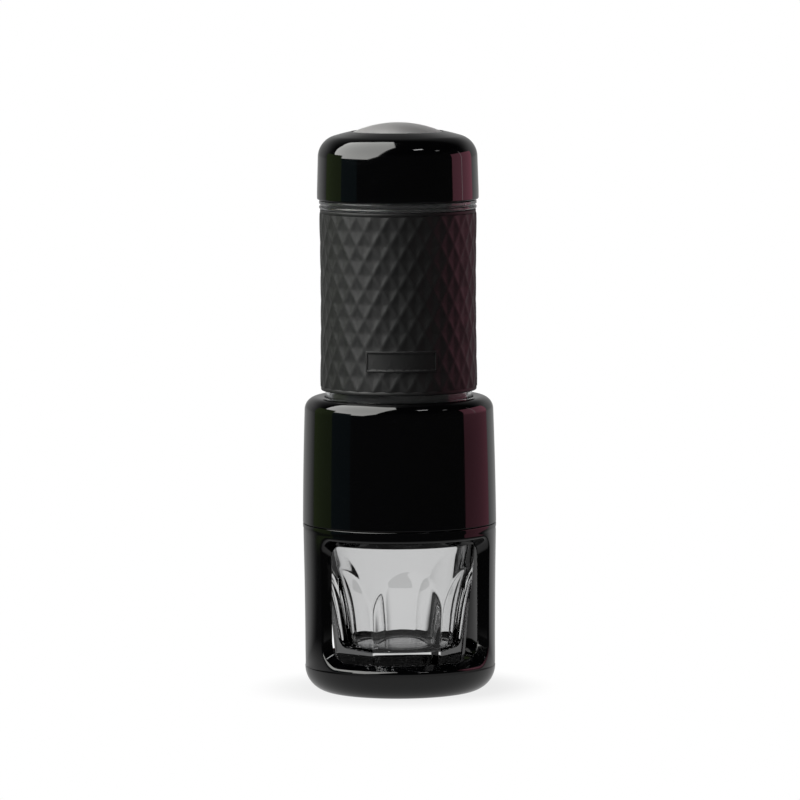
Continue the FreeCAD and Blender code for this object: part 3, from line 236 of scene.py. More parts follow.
def add_strip(mesh, rows, closed=True):
    """Quads between rows of points. A row of one point closes in a fan."""
    made = [[mesh.verts.new(point) for point in row] for row in rows]
    for lower, upper in zip(made, made[1:]):
        count = max(len(lower), len(upper))
        for index in range(count if closed else count - 1):
            after = (index + 1) % count
            corners = []
            for row, places in ((lower, (index, after)), (upper, (after, index))):
                if len(row) == 1:
                    corners.append(row[0])
                else:
                    corners.extend(row[place] for place in places)
            mesh.faces.new(corners)


def turned_rows(outline, angles):
    """Rows of points for an outline of (radius, level), with one point on the axis."""
    rows = []
    for radius, level in outline:
        if radius < ON_AXIS:
            rows.append([Vector((0, 0, level))])
        else:
            rows.append([at(radius, angle, level) for angle in angles])
    return rows


def turn(mesh, outline, angles=None, closed=True):
    """Adds an outline turned about the upright axis; closed joins its two ends."""
    angles = angles or even_angles()
    rows = turned_rows(outline, angles)
    if closed and outline[0][0] > ON_AXIS:
        rows.append(rows[0])
    add_strip(mesh, rows)


def finished(name, mesh, material, flat_angle=40):
    """The piece's object: welded, facing outwards, smooth, with normals led by its large faces."""
    bmesh.ops.remove_doubles(mesh, verts=mesh.verts, dist=WELD)
    bmesh.ops.recalc_face_normals(mesh, faces=mesh.faces)
    smooth_faces(mesh, flat_angle)
    piece = linked(name, mesh)
    piece.data.materials.append(material)
    modifier = piece.modifiers.new("normals", "WEIGHTED_NORMAL")
    modifier.weight = 60
    modifier.keep_sharp = True
    bake_modifiers(piece)
    return piece


def smooth_faces(mesh, flat_angle):
    """Smooth faces, with a sharp edge wherever two faces meet at more than an angle in degrees."""
    for face in mesh.faces:
        face.smooth = True
    limit = math.radians(flat_angle)
    for edge in mesh.edges:
        if len(edge.link_faces) == 2 and edge.calc_face_angle(0) > limit:
            edge.smooth = False


def linked(name, mesh):
    """A new object in the scene that takes over a mesh under construction."""
    data = bpy.data.meshes.new(name)
    mesh.to_mesh(data)
    mesh.free()
    made = bpy.data.objects.new(name, data)
    bpy.context.scene.collection.objects.link(made)
    return made


def bake_modifiers(piece):
    """Turns the piece and its modifiers into a plain mesh."""
    evaluated = piece.evaluated_get(bpy.context.evaluated_depsgraph_get())
    data = bpy.data.meshes.new_from_object(evaluated)
    old = piece.data
    piece.modifiers.clear()
    piece.data = data
    data.name = piece.name
    bpy.data.meshes.remove(old)


def place(piece, body, finish, *nodes):
    """The piece rides on a body and stands for CAD nodes, which it hides; the finish is not used."""
    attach(piece, body)
    if nodes:
        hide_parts(*nodes)


# Materials.


class Nodes:
    """Short ways to add nodes to a tree."""

    def __init__(self, tree):
        self.tree = tree

    def node(self, kind, **settings):
        made = self.tree.nodes.new(kind)
        for name, value in settings.items():
            setattr(made, name, value)
        return made

    def join(self, output, socket):
        self.tree.links.new(output, socket)

    def give(self, value, socket):
        """Sets a socket to a number or joins an output to it."""
        if isinstance(value, (int, float)):
            socket.default_value = value
        else:
            self.join(value, socket)

    def math(self, operation, *values):
        """A math node on outputs or numbers."""
        made = self.node("ShaderNodeMath", operation=operation)
        for socket, value in zip(made.inputs, values):
            self.give(value, socket)
        return made.outputs[0]

    def across_axis(self, parts):
        """The distance from the upright axis of a place that is split in its parts."""
        squares = [self.math("MULTIPLY", parts.outputs[name], parts.outputs[name]) for name in "XY"]
        return self.math("SQRT", self.math("ADD", *squares))


class Finish(Nodes):
    """A material with its Principled shader and short ways to feed it."""

    def __init__(self, name, base, roughness, metallic=0.0):
        self.name = name
        self.material = bpy.data.materials.new(name)
        self.material.use_nodes = True
        super().__init__(self.material.node_tree)
        self.shader = self.tree.nodes["Principled BSDF"]
        self.set("Base Color", (*base, 1.0))
        self.set("Roughness", roughness)
        self.set("Metallic", metallic)

    def set(self, socket, value):
        self.shader.inputs[socket].default_value = value

    def group(self, tree, **values):
        """The outputs of a shared group that is placed with its own values."""
        placed = self.node("ShaderNodeGroup", node_tree=tree)
        for name, value in values.items():
            placed.inputs[name.capitalize()].default_value = value
        return placed.outputs

    def bump(self, height, distance):
        """Feeds a height to the shader's normal."""
        placed = self.node("ShaderNodeBump")
        placed.inputs["Distance"].default_value = distance
        self.join(height, placed.inputs["Height"])
        self.feed(placed.outputs["Normal"], "Normal")

    def feed(self, output, socket):
        self.join(output, self.shader.inputs[socket])


class Group(Nodes):
    """A shader node group under construction."""

    def __init__(self, name, inputs, outputs):
        super().__init__(bpy.data.node_groups.new(name, "ShaderNodeTree"))
        for label, default in inputs:
            socket = self.tree.interface.new_socket(label, in_out="INPUT", socket_type="NodeSocketFloat")
            socket.default_value = default
        for label in outputs:
            self.tree.interface.new_socket(label, in_out="OUTPUT", socket_type="NodeSocketFloat")
        self.given = self.node("NodeGroupInput").outputs
        self.result = self.node("NodeGroupOutput").inputs

    def noise(self, scale, detail, vector=None):
        """A noise texture, on the object's own coordinates unless a vector is given."""
        made = self.node("ShaderNodeTexNoise")
        made.inputs["Detail"].default_value = detail
        self.join(vector or self.node("ShaderNodeTexCoord").outputs["Object"], made.inputs["Vector"])
        self.give(scale, made.inputs["Scale"])
        return made.outputs["Fac"]


def make_moulded_grain():
    """Fine grain of a moulded surface with coarser waves under it, as a height."""
    group = Group("moulded_grain", [("Scale", 2500.0), ("Depth", 1.0)], ["Height"])
    coarse_scale = 0.12
    coarse_share = 0.6
    fine = group.noise(group.given["Scale"], 3.0)
    coarse = group.noise(group.math("MULTIPLY", group.given["Scale"], coarse_scale), 2.0)
    both = group.math("ADD", fine, group.math("MULTIPLY", coarse, coarse_share))
    group.join(group.math("MULTIPLY", both, group.given["Depth"]), group.result["Height"])
    return group.tree


def make_handling_marks():
    """Faint smears from handling, as a roughness between two values."""
    group = Group("handling_marks", [("Scale", 60.0), ("Clean", 0.05), ("Smeared", 0.12)], ["Roughness"])
    smears_start = 0.48
    smears_end = 0.72
    placed = group.node("ShaderNodeMapRange", clamp=True).inputs
    for name, value in (("Value", group.noise(group.given["Scale"], 4.0)), ("From Min", smears_start),
                        ("From Max", smears_end), ("To Min", group.given["Clean"]),
                        ("To Max", group.given["Smeared"])):
        group.give(value, placed[name])
    group.join(placed["Value"].node.outputs["Result"], group.result["Roughness"])
    return group.tree


def make_turning_lines():
    """Fine lines left by turning round the upright axis, as a height and a roughness."""
    group = Group("turning_lines", [("Across", 9000.0), ("Clean", 0.22), ("Worn", 0.34)],
                  ["Height", "Roughness"])
    cloud_scale = 90.0
    parts = group.node("ShaderNodeSeparateXYZ")
    group.join(group.node("ShaderNodeTexCoord").outputs["Object"], parts.inputs["Vector"])
    line = group.node("ShaderNodeCombineXYZ")
    group.join(group.math("MULTIPLY", group.across_axis(parts), group.given["Across"]), line.inputs["X"])
    group.join(group.math("MULTIPLY", parts.outputs["Z"], group.given["Across"]), line.inputs["Y"])
    rings = group.noise(1.0, 2.0, line.outputs["Vector"])
    cloud = group.noise(cloud_scale, 3.0)
    group.join(rings, group.result["Height"])
    spread = group.math("SUBTRACT", group.given["Worn"], group.given["Clean"])
    share = group.math("MULTIPLY", group.math("MULTIPLY", rings, cloud), 2.0)
    rough = group.math("ADD", group.given["Clean"], group.math("MULTIPLY", share, spread))
    group.join(rough, group.result["Roughness"])
    return group.tree


def make_finishes(colours):
    """All finishes by the name of their slot."""
    grain = make_moulded_grain()
    marks = make_handling_marks()
    lines = make_turning_lines()

    gloss = Finish("black_gloss", colours.gloss_black, 0.05)
    gloss.feed(gloss.group(marks, scale=45.0, clean=0.035, smeared=0.11)["Roughness"], "Roughness")
    gloss.bump(gloss.group(grain, scale=260.0)["Height"], 0.004 * MM)

    satin = Finish("black_satin", colours.satin_black, 0.38)
    satin.bump(satin.group(grain, scale=3200.0)["Height"], 0.02 * MM)
    satin.feed(satin.group(marks, scale=80.0, clean=0.34, smeared=0.46)["Roughness"], "Roughness")

    silicone = Finish("black_silicone", colours.silicone, 0.55)
    silicone.set("Specular IOR Level", 0.42)
    silicone.set("Sheen Weight", 0.04)
    silicone.set("Sheen Roughness", 0.4)
    silicone.bump(silicone.group(grain, scale=3800.0)["Height"], 0.03 * MM)
    silicone.feed(silicone.group(marks, scale=120.0, clean=0.5, smeared=0.62)["Roughness"], "Roughness")

    seal = Finish("seal_silicone", colours.seal, 0.42)
    seal.set("Subsurface Weight", 0.15)
    seal.set("Subsurface Scale", 1 * MM)
    seal.bump(seal.group(grain, scale=2600.0)["Height"], 0.01 * MM)

    bush = Finish("white_bush", colours.bush, 0.4)
    bush.bump(bush.group(lines, across=7000.0)["Height"], 0.006 * MM)

    clear = Finish("clear_tank", colours.clear, 0.03)
    clear.set("Transmission Weight", 0.94)
    clear.set("IOR", 1.5)
    clear.feed(clear.group(marks, scale=70.0, clean=0.015, smeared=0.05)["Roughness"], "Roughness")

    glass = Finish("cup_glass", colours.glass, 0.0)
    glass.set("Transmission Weight", 1.0)
    glass.set("IOR", 1.52)
    glass.bump(glass.group(grain, scale=75.0)["Height"], 0.02 * MM)

    steel = Finish("steel", colours.steel, 0.25, metallic=1.0)
    turned = steel.group(lines, across=8000.0, clean=0.16, worn=0.3)
    steel.feed(turned["Roughness"], "Roughness")
    steel.bump(turned["Height"], 0.003 * MM)

    crown = Finish("crown_metal", colours.crown, 0.35, metallic=1.0)
    spun = crown.group(lines, across=5200.0, clean=0.3, worn=0.42)
    crown.feed(spun["Roughness"], "Roughness")
    crown.bump(spun["Height"], 0.004 * MM)

    finishes = (gloss, satin, silicone, seal, bush, clear, glass, steel, crown)
    return {finish.name: finish for finish in finishes}


FINISHES = {}


def material_of(slot):
    """The material for a slot, made the first time it is asked for."""
    if not FINISHES:
        FINISHES.update(make_finishes(bpy.context.scene.maker_colours))
    return FINISHES[slot].material


# The base with its windows.

ACROSS_STEPS = 36
CORNER_STEPS = 10
HALF_CORNER = CORNER_STEPS // 2
UP_STEPS = 20
PANEL_INSET = 0.9 * QUARTER


def window_loop(half, low, high, round_low, round_high, radius):
    """The window's edge as (angle, level) pairs, anticlockwise from its lower left."""
    across_low = half - round_low / radius
    across_high = half - round_high / radius
    level_low = low + round_low
    level_high = high - round_high

    def corner(across, level, rounding, start):
        """A rounded corner about a middle, a quarter turn on from a start angle."""
        angles = [start + turned for turned in quarter_turn(CORNER_STEPS)[:-1]]
        return [(across + rounding / radius * math.cos(angle), level + rounding * math.sin(angle))
                for angle in angles]

    loop = stretch((-across_low, low), (across_low, low), ACROSS_STEPS)
    loop += corner(across_low, level_low, round_low, -QUARTER)
    loop += stretch((half, level_low), (half, level_high), UP_STEPS)
    loop += corner(across_high, level_high, round_high, 0)
    loop += stretch((across_high, high), (-across_high, high), ACROSS_STEPS)
    loop += corner(-across_high, level_high, round_high, QUARTER)
    loop += stretch((-half, level_high), (-half, level_low), UP_STEPS)
    loop += corner(-across_low, level_low, round_low, 2 * QUARTER)
    return loop


def panel_loop(low, high):
    """The edge of the half turn that surrounds a window, with as many points as the window's."""
    rise = 0.12 * (high - low)
    stops = [(-PANEL_INSET, low), (PANEL_INSET, low), (QUARTER, low), (QUARTER, low + rise),
             (QUARTER, high - rise), (QUARTER, high), (PANEL_INSET, high), (-PANEL_INSET, high),
             (-QUARTER, high), (-QUARTER, high - rise), (-QUARTER, low + rise), (-QUARTER, low)]
    counts = (ACROSS_STEPS, HALF_CORNER, HALF_CORNER, UP_STEPS, HALF_CORNER, HALF_CORNER) * 2
    loop = []
    for start, end, count in zip(stops, stops[1:] + stops[:1], counts):
        loop += stretch(start, end, count)
    return loop


def panel_angles():
    """The angles of the upright grid lines that the window panels end on."""
    half_turn = []
    for start, end, count in ((-QUARTER, -PANEL_INSET, HALF_CORNER),
                              (-PANEL_INSET, PANEL_INSET, ACROSS_STEPS),
                              (PANEL_INSET, QUARTER, HALF_CORNER)):
        half_turn += [angle for angle, _ in stretch((start, 0), (end, 0), count)]
    return half_turn + [angle + math.pi for angle in half_turn]


def make_base(sizes):
    """The base housing: one shell with a flared, rounded window in front and one behind."""
    low = 0.1 * MM
    top = high_of("base_housing")
    bore = sizes.base_bore
    low_radius = sizes.seam_radius - sizes.base_draw
    round_start = math.radians(20)
    side_low = low + sizes.base_round * math.cos(round_start)
    flat = low_radius - sizes.base_round * (1 - math.sin(round_start))
    wall_curve = 2.2
    panel_low = side_low + 0.15 * MM
    panel_high = top - 1.4 * MM
    inner_low = sizes.base_floor + 3.4 * MM
    inner_high = top - 4.5 * MM
    angles = panel_angles()
    mesh = bmesh.new()

    def outer(level):
        """The side's radius at a level: it draws in and bows inwards on a wide arc."""
        share = min(max((level - side_low) / (top - side_low), 0), 1)
        rise = (top - side_low) ** 2 / (8 * wall_curve)
        return low_radius + (sizes.seam_radius - low_radius) * share - rise * 4 * share * (1 - share)

    foot_in = 19.95 * MM
    foot_out = 25.05 * MM
    foot_roof = low + 2 * MM
    foot_edge = 0.2 * MM
    underside = [(0, low), (foot_in - foot_edge, low), (foot_in, low + foot_edge), (foot_in, foot_roof),
                 (foot_out, foot_roof), (foot_out, low + foot_edge), (foot_out + foot_edge, low),
                 (flat - 0.6 * MM, low)]
    rounding_steps = 14
    for step in range(rounding_steps + 1):
        angle = round_start + (QUARTER - round_start) * step / rounding_steps
        underside.append((low_radius - sizes.base_round * (1 - math.sin(angle)),
                          side_low - sizes.base_round * math.cos(angle)))
    turn(mesh, underside + [(outer(panel_low), panel_low)], angles, closed=False)

    edge = 0.35 * MM
    rim = [(outer(panel_high), panel_high)]
    rim += [(sizes.seam_radius - edge * (1 - math.cos(angle)), top - edge * (1 - math.sin(angle)))
            for angle in quarter_turn(4)]
    rim += [(bore + edge * (1 - math.sin(angle)), top - edge * (1 - math.cos(angle)))
            for angle in quarter_turn(4)]
    turn(mesh, rim + [(bore, inner_high)], angles, closed=False)

    corner = 3 * MM
    mat = reach_of("cup_mat") + 0.1 * MM
    mat_edge = 0.15 * MM
    seat = low_of("cup_mat")
    floor = [(bore, inner_low)]
    floor += [(bore - corner * (1 - math.cos(angle)), sizes.base_floor + corner * (1 - math.sin(angle)))
              for angle in quarter_turn(8)]
    floor += [(mat + mat_edge, sizes.base_floor), (mat, sizes.base_floor - mat_edge), (mat, seat), (0, seat)]
    turn(mesh, floor, angles, closed=False)

    round_low = 8 * MM
    round_high = 5 * MM

    def window_at(depth, grow):
        """The window's edge at a depth from 0 outside to 1 inside, grown along the wall."""
        low_edge = sizes.window_low_out + (sizes.window_low_in - sizes.window_low_out) * depth - grow
        high_edge = sizes.window_top_out + (sizes.window_top_in - sizes.window_top_out) * depth + grow
        radius = sizes.seam_radius + (bore - sizes.seam_radius) * depth
        half = sizes.window_sweep / 2 + grow / radius
        return window_loop(half, low_edge, high_edge, round_low + grow, round_high + grow, radius)

    def on_wall(loop, depth, middle):
        """The loop's points at a depth in the wall, about the window's middle angle."""
        return [at(outer(level) + (bore - outer(level)) * depth, angle + middle, level)
                for angle, level in loop]

    def between(first, last, share):
        """A loop at a share of the way from one loop to another."""
        return [(a[0] + (b[0] - a[0]) * share, a[1] + (b[1] - a[1]) * share) for a, b in zip(first, last)]

    wall = sizes.seam_radius - bore
    rim_steps = 5
    rim_angles = quarter_turn(rim_steps)
    outer_shares = (0, 0.35, 0.62, 0.8, 0.92, 1)
    inner_shares = (0.25, 0.6, 1)
    outer_panel = panel_loop(panel_low, panel_high)
    inner_panel = panel_loop(inner_low, inner_high)
    for middle in (0, math.pi):
        rows = [on_wall(between(outer_panel, window_at(0, sizes.window_edge), share), 0, middle)
                for share in outer_shares]
        for angle in rim_angles[1:]:
            depth = sizes.window_edge * (1 - math.cos(angle)) / wall
            rows.append(on_wall(window_at(depth, sizes.window_edge * (1 - math.sin(angle))), depth, middle))
        rows.append(on_wall(window_at(0.5, 0), 0.5, middle))
        for angle in rim_angles:
            depth = 1 - sizes.window_edge * (1 - math.sin(angle)) / wall
            rows.append(on_wall(window_at(depth, sizes.window_edge * (1 - math.cos(angle))), depth, middle))
        rows += [on_wall(between(window_at(1, sizes.window_edge), inner_panel, share), 1, middle)
                 for share in inner_shares]
        add_strip(mesh, rows)
    return finished("base_shell", mesh, material_of("black_gloss"))


def make_foot():
    """The foot ring, with softly rounded edges."""
    low = low_of("foot_ring")
    high = high_of("foot_ring")
    outer = reach_of("foot_ring")
    inner = outer - 5 * MM
    soft = 0.3 * MM
    mesh = bmesh.new()
    turn(mesh, rounded([(inner, high), (inner, low, soft), (outer, low, soft), (outer, high)]))
    return finished("foot_pad", mesh, material_of("black_silicone"))


def make_mat():
    """The mat under the cup, with shallow grooves round its middle."""
    low = low_of("cup_mat")
    high = high_of("cup_mat")
    outer = reach_of("cup_mat")
    grooves = 6
    first_groove = 0.9 * outer
    groove_pitch = 0.8 * outer / grooves
    groove_top = 0.5 * MM
    groove_floor = 0.3 * MM
    groove_low = high - 0.25 * MM
    soft = 0.12 * MM
    corners = [(0, low), (outer, low), (outer, high, 0.25 * MM)]
    for groove in range(grooves):
        across = first_groove - groove_pitch * groove
        corners += [(across + groove_top, high, soft), (across + groove_floor, groove_low, soft),
                    (across - groove_floor, groove_low, soft), (across - groove_top, high, soft)]
    corners.append((0, high))
    mesh = bmesh.new()
    turn(mesh, rounded(corners, 3))
    return finished("cup_mat_ribbed", mesh, material_of("black_silicone"))


# The glass cup.

FACETS = 6
FACET_STEPS = 40


def soft_least(first, second, blend):
    """The lesser of two lengths, rounded over where they are nearly equal."""
    share = max(blend - abs(first - second), 0) / blend
    return min(first, second) - share * share * blend / 4


def make_cup():
    """The cup: six flats below that run out in arches under a round rim, and a round bore."""
    low = low_of("glass_cup")
    rim = high_of("glass_cup")
    rim_radius = reach_of("glass_cup")
    foot = 24.6 * MM
    foot_round = 1.0 * MM
    hollow = 0.9 * MM
    hollow_edge = 0.55 * MM
    lip = 1.2 * MM
    lip_level = rim - lip
    flat_low = foot * math.cos(math.pi / FACETS)
    knee_level = 30 * MM
    flare = 2 * MM
    curve = 50 * MM
    bottom = low + 8 * MM
    bore_low = 19.8 * MM
    bore_round = 4 * MM
    bore_rim = rim_radius - 2 * lip
    crease = 0.35 * MM
    foot_steps = 5
    side_steps = 70
    lip_steps = 12
    bore_steps = 20
    angles = even_angles(FACETS * FACET_STEPS)

    def flat_at(level):
        """How far a flat stands from the axis: it leans out, and curves out above the knee."""
        lean = flare / (knee_level - low)
        above = max(level - knee_level, 0)
        return flat_low + lean * (level - low) + above * above / (2 * curve)

    def outside(angle, level):
        """The outer radius at an angle and level."""
        sector = 2 * math.pi / FACETS
        away = (angle + sector / 2) % sector - sector / 2
        cone = foot + (rim_radius - foot) * (level - low) / (lip_level - low)
        return soft_least(cone, flat_at(level) / math.cos(away), crease)

    def ring(radius, level):
        return [at(radius, angle, level) for angle in angles]

    def side(level, inset=0.0):
        return [at(outside(angle, level) - inset, angle, level) for angle in angles]

    rows = [[Vector((0, 0, low + hollow))], ring(foot * 0.45, low + hollow),
            ring(foot * 0.62, low + hollow_edge), ring(foot * 0.7, low)]
    for turned in quarter_turn(foot_steps):
        rows.append(side(low + foot_round * (1 - math.cos(turned)), foot_round * (1 - math.sin(turned))))
    for step in range(1, side_steps + 1):
        rows.append(side(low + foot_round + (lip_level - low - foot_round) * step / side_steps))
    for step in range(1, lip_steps + 1):
        turned = math.pi * step / lip_steps
        rows.append(ring(rim_radius - lip + lip * math.cos(turned), lip_level + lip * math.sin(turned)))
    for step in range(1, bore_steps + 1):
        share = step / bore_steps
        rows.append(ring(bore_rim + (bore_low - bore_rim) * share,
                         lip_level + (bottom + bore_round - lip_level) * share))
    for turned in quarter_turn(8, first=1):
        rows.append(ring(bore_low - bore_round * (1 - math.cos(turned)),
                         bottom + bore_round * (1 - math.sin(turned))))
    rows += [ring(bore_low * 0.4, bottom), [Vector((0, 0, bottom))]]
    mesh = bmesh.new()
    add_strip(mesh, rows)
    return finished("cup", mesh, material_of("cup_glass"), flat_angle=80)


# The head.


def make_head_shell(sizes):
    """The head's housing with its shoulder and the neck that takes the tank."""
    low = low_of("brew_housing")
    top = high_of("brew_housing")
    chamber_top = high_of("brew_chamber") + 0.05 * MM
    neck = sizes.tank_radius + 0.38 * MM
    neck_outer = neck + 2.4 * MM
    neck_land = neck + 1.2 * MM
    wall = 2.4 * MM
    ceiling = top - wall
    side_curve = 1.65
    side_top = top - sizes.shoulder_round
    seam_edge = 0.3 * MM
    soft = 0.2 * MM
    foot = Vector((sizes.seam_radius, low + seam_edge))
    shoulder = Vector((sizes.head_top_radius, side_top))
    outline = rounded([(sizes.seam_radius - wall, low), (sizes.seam_radius, low, seam_edge),
                       (sizes.seam_radius, low + 2 * MM)])[:-1]
    outline += bend(foot, shoulder, side_curve, 14) + [shoulder]
    outline += [Vector((sizes.head_top_radius - sizes.shoulder_round * (1 - math.cos(angle)),
                        side_top + sizes.shoulder_round * math.sin(angle)))
                for angle in quarter_turn(12, first=1)]
    outline += rounded([(neck_land, top), (neck, top, 0.5 * MM), (neck, chamber_top, soft),
                        (neck_outer, chamber_top, soft), (neck_outer, ceiling, 0.3 * MM),
                        (sizes.head_top_radius - wall, ceiling, 2 * MM),
                        (sizes.seam_radius - wall, low + 1 * MM)])
    mesh = bmesh.new()
    turn(mesh, outline)
    return finished("head_shell", mesh, material_of("black_gloss"))


# The tank and its sleeve.


def make_tank(sizes):
    """The clear tank with its beaded collar and the floor that carries the pump."""
    low = low_of("water_tank")
    top = high_of("water_tank")
    outer = sizes.tank_radius
    bore = outer - sizes.tank_wall
    floor_low = high_of("pump_cylinder") - 43.45 * MM
    floor_top = floor_low + 2.5 * MM
    hole = 7.95 * MM
    ring_level = (low_of("tank_seal") + high_of("tank_seal")) / 2
    ring_low = ring_level - 0.65 * MM
    ring_high = ring_level + 0.65 * MM
    ring_seat = outer - 0.87 * MM
    ring_edge = 0.1 * MM
    bead = sizes.bead_radius
    bead_round = 0.55 * MM
    groove = bead - 0.9 * MM
    groove_round = 0.15 * MM
    groove_top = top - sizes.collar_high
    groove_low = groove_top - sizes.collar_mid
    collar = groove_low - sizes.collar_low
    soft = 0.3 * MM
    corners = [
        (hole, floor_low), (bore, floor_low, 0.5 * MM), (bore, low, soft), (outer, low, soft),
        (outer, ring_low, ring_edge), (ring_seat, ring_low, ring_edge),
        (ring_seat, ring_high, ring_edge), (outer, ring_high, ring_edge),
        (outer, collar, soft), (bead, collar, bead_round), (bead, groove_low, bead_round),
        (groove, groove_low, groove_round), (groove, groove_top, groove_round),
        (bead, groove_top, bead_round), (bead, top, bead_round), (bore, top, soft),
        (bore, floor_top, 1.2 * MM), (hole, floor_top),
    ]
    mesh = bmesh.new()
    turn(mesh, rounded(corners))
    return finished("clear_tank_shell", mesh, material_of("clear_tank"))


def diamond_tree(material):
    """A node tree that lays a slice of a sleeve round the axis and draws in its waist."""
    tree = bpy.data.node_groups.new("sleeve_diamonds", "GeometryNodeTree")
    face = tree.interface
    face.new_socket("Geometry", in_out="INPUT", socket_type="NodeSocketGeometry")
    face.new_socket("Columns", in_out="INPUT", socket_type="NodeSocketInt")
    for name in ("Waist", "Low", "High", "Outside"):
        face.new_socket(name, in_out="INPUT", socket_type="NodeSocketFloat")
    face.new_socket("Geometry", in_out="OUTPUT", socket_type="NodeSocketGeometry")
    nodes = Nodes(tree)
    node = nodes.node
    join = nodes.join
    combine = nodes.math

    given = node("NodeGroupInput")
    result = node("NodeGroupOutput")
    line = node("GeometryNodeMeshLine")
    line.inputs["Offset"].default_value = (0, 0, 0)
    join(given.outputs["Columns"], line.inputs["Count"])
    index = node("GeometryNodeInputIndex")
    step = combine("DIVIDE", 2 * math.pi, given.outputs["Columns"])
    spin = node("ShaderNodeCombineXYZ")
    join(combine("MULTIPLY", index.outputs[0], step), spin.inputs["Z"])
    copies = node("GeometryNodeInstanceOnPoints")
    join(line.outputs["Mesh"], copies.inputs["Points"])
    join(given.outputs["Geometry"], copies.inputs["Instance"])
    join(spin.outputs["Vector"], copies.inputs["Rotation"])
    real = node("GeometryNodeRealizeInstances")
    join(copies.outputs["Instances"], real.inputs["Geometry"])
    weld = node("GeometryNodeMergeByDistance")
    weld.inputs["Distance"].default_value = 0.005 * MM
    join(real.outputs["Geometry"], weld.inputs["Geometry"])

    where = node("GeometryNodeInputPosition")
    parts = node("ShaderNodeSeparateXYZ")
    join(where.outputs["Position"], parts.inputs["Vector"])
    middle = combine("MULTIPLY", combine("ADD", given.outputs["Low"], given.outputs["High"]), 0.5)
    half = combine("MULTIPLY", combine("SUBTRACT", given.outputs["High"], given.outputs["Low"]), 0.5)
    away = combine("DIVIDE", combine("SUBTRACT", parts.outputs["Z"], middle), half)
    drawn = combine("SUBTRACT", 1.0, combine("MULTIPLY", away, away))
    across = nodes.across_axis(parts)
    is_outside = combine("GREATER_THAN", across, given.outputs["Outside"])
    drawn = combine("MULTIPLY", combine("MAXIMUM", drawn, 0.0), is_outside)
    inward = combine("MULTIPLY", drawn, given.outputs["Waist"])
    factor = combine("DIVIDE", combine("SUBTRACT", across, inward), across)
    moved = node("ShaderNodeCombineXYZ")
    join(combine("MULTIPLY", parts.outputs["X"], factor), moved.inputs["X"])
    join(combine("MULTIPLY", parts.outputs["Y"], factor), moved.inputs["Y"])
    join(parts.outputs["Z"], moved.inputs["Z"])
    waist = node("GeometryNodeSetPosition")
    join(weld.outputs["Geometry"], waist.inputs["Geometry"])
    join(moved.outputs["Vector"], waist.inputs["Position"])
    paint = node("GeometryNodeSetMaterial")
    paint.inputs["Material"].default_value = material
    join(waist.outputs["Geometry"], paint.inputs["Geometry"])
    join(paint.outputs["Geometry"], result.inputs["Geometry"])
    return tree


def run_tree(piece, tree, values):
    """Runs a node tree on a piece with named inputs and keeps the result as a plain mesh."""
    modifier = piece.modifiers.new(tree.name, "NODES")
    modifier.node_group = tree
    for item in tree.interface.items_tree:
        if item.in_out == "INPUT" and item.name in values:
            modifier[item.identifier] = values[item.name]
    bake_modifiers(piece)


def make_sleeve(sizes):
    """The grip sleeve: a bore, a plain band at each end and a net of sunk diamonds between."""
    low = low_of("grip_sleeve")
    high = high_of("grip_sleeve")
    bore = sizes.tank_radius + 0.05 * MM
    plain_low = low + sizes.sleeve_band
    plain_high = high - sizes.sleeve_band
    rows = sizes.diamond_rows
    row_height = (plain_high - plain_low) / rows
    half_step = math.pi / sizes.diamonds_round
    band = sizes.sleeve_radius - sizes.sleeve_step
    steps = 8
    mesh = bmesh.new()

    def sunk(across, up):
        """How far a diamond is sunk at a place that is from 0 at its middle to 1 at its edge."""
        reach = abs(across) + abs(up)
        dish = 1.6
        return sizes.diamond_depth * max(1 - reach ** dish, 0)

    def net_point(step, row, across, up):
        """A point of the diamond whose middle is at a half step and a row."""
        radius = sizes.sleeve_radius - sunk(across, up)
        return mesh.verts.new(at(radius, (step + across) * half_step, plain_low + (row + up) * row_height))

    def add_diamond(step, row):
        """One diamond; at the sleeve's ends only the half that lies on it."""
        grid = {}
        for first in range(steps + 1):
            for second in range(steps + 1):
                across = (first + second) / steps - 1
                up = (first - second) / steps
                if 0 <= row + up <= rows:
                    grid[first, second] = net_point(step, row, across, up)
        for first in range(steps):
            for second in range(steps):
                places = ((first, second), (first, second + 1), (first + 1, second + 1),
                          (first + 1, second))
                corners = [grid[corner] for corner in places if corner in grid]
                if len(corners) > 2:
                    mesh.faces.new(corners)

    for row in range(rows + 1):
        add_diamond(row % 2 == 0, row)

    def ring(radius, level):
        """A row of points across the slice."""
        return [at(radius, 2 * step / steps * half_step, level) for step in range(steps + 1)]

    def border(level):
        """The net's own lower or upper border."""
        return [at(sizes.sleeve_radius - sunk(2 * step / steps - 1, 0), 2 * step / steps * half_step, level)
                for step in range(steps + 1)]

    soft = 0.25 * MM
    under = band - 0.12 * MM
    rise = 0.1 * MM
    edge = [(bore, soft), (bore + soft, 0), (band - 2 * soft, 0), (band - soft, 0.3 * soft),
            (band - 0.3 * soft, soft), (band, 2 * soft)]
    lower = [border(plain_low), ring(under, plain_low), ring(band, plain_low - rise)]
    lower += [ring(radius, low + inset) for radius, inset in reversed(edge)]
    upper = [ring(radius, high - inset) for radius, inset in edge]
    upper += [ring(band, plain_high + rise), ring(under, plain_high), border(plain_high)]
    add_strip(mesh, lower + upper, closed=False)
    bmesh.ops.remove_doubles(mesh, verts=mesh.verts, dist=SLICE_WELD)
    net = linked("sleeve_net", mesh)
    run_tree(net, diamond_tree(material_of("black_silicone")), {
        "Columns": sizes.diamonds_round,
        "Waist": sizes.sleeve_waist,
        "Low": low,
        "High": high,
        "Outside": bore + 0.4 * MM,
    })
    mesh = bmesh.new()
    mesh.from_mesh(net.data)
    bmesh.ops.recalc_face_normals(mesh, faces=mesh.faces)
    smooth_faces(mesh, 50)
    mesh.to_mesh(net.data)
    mesh.free()
    return net


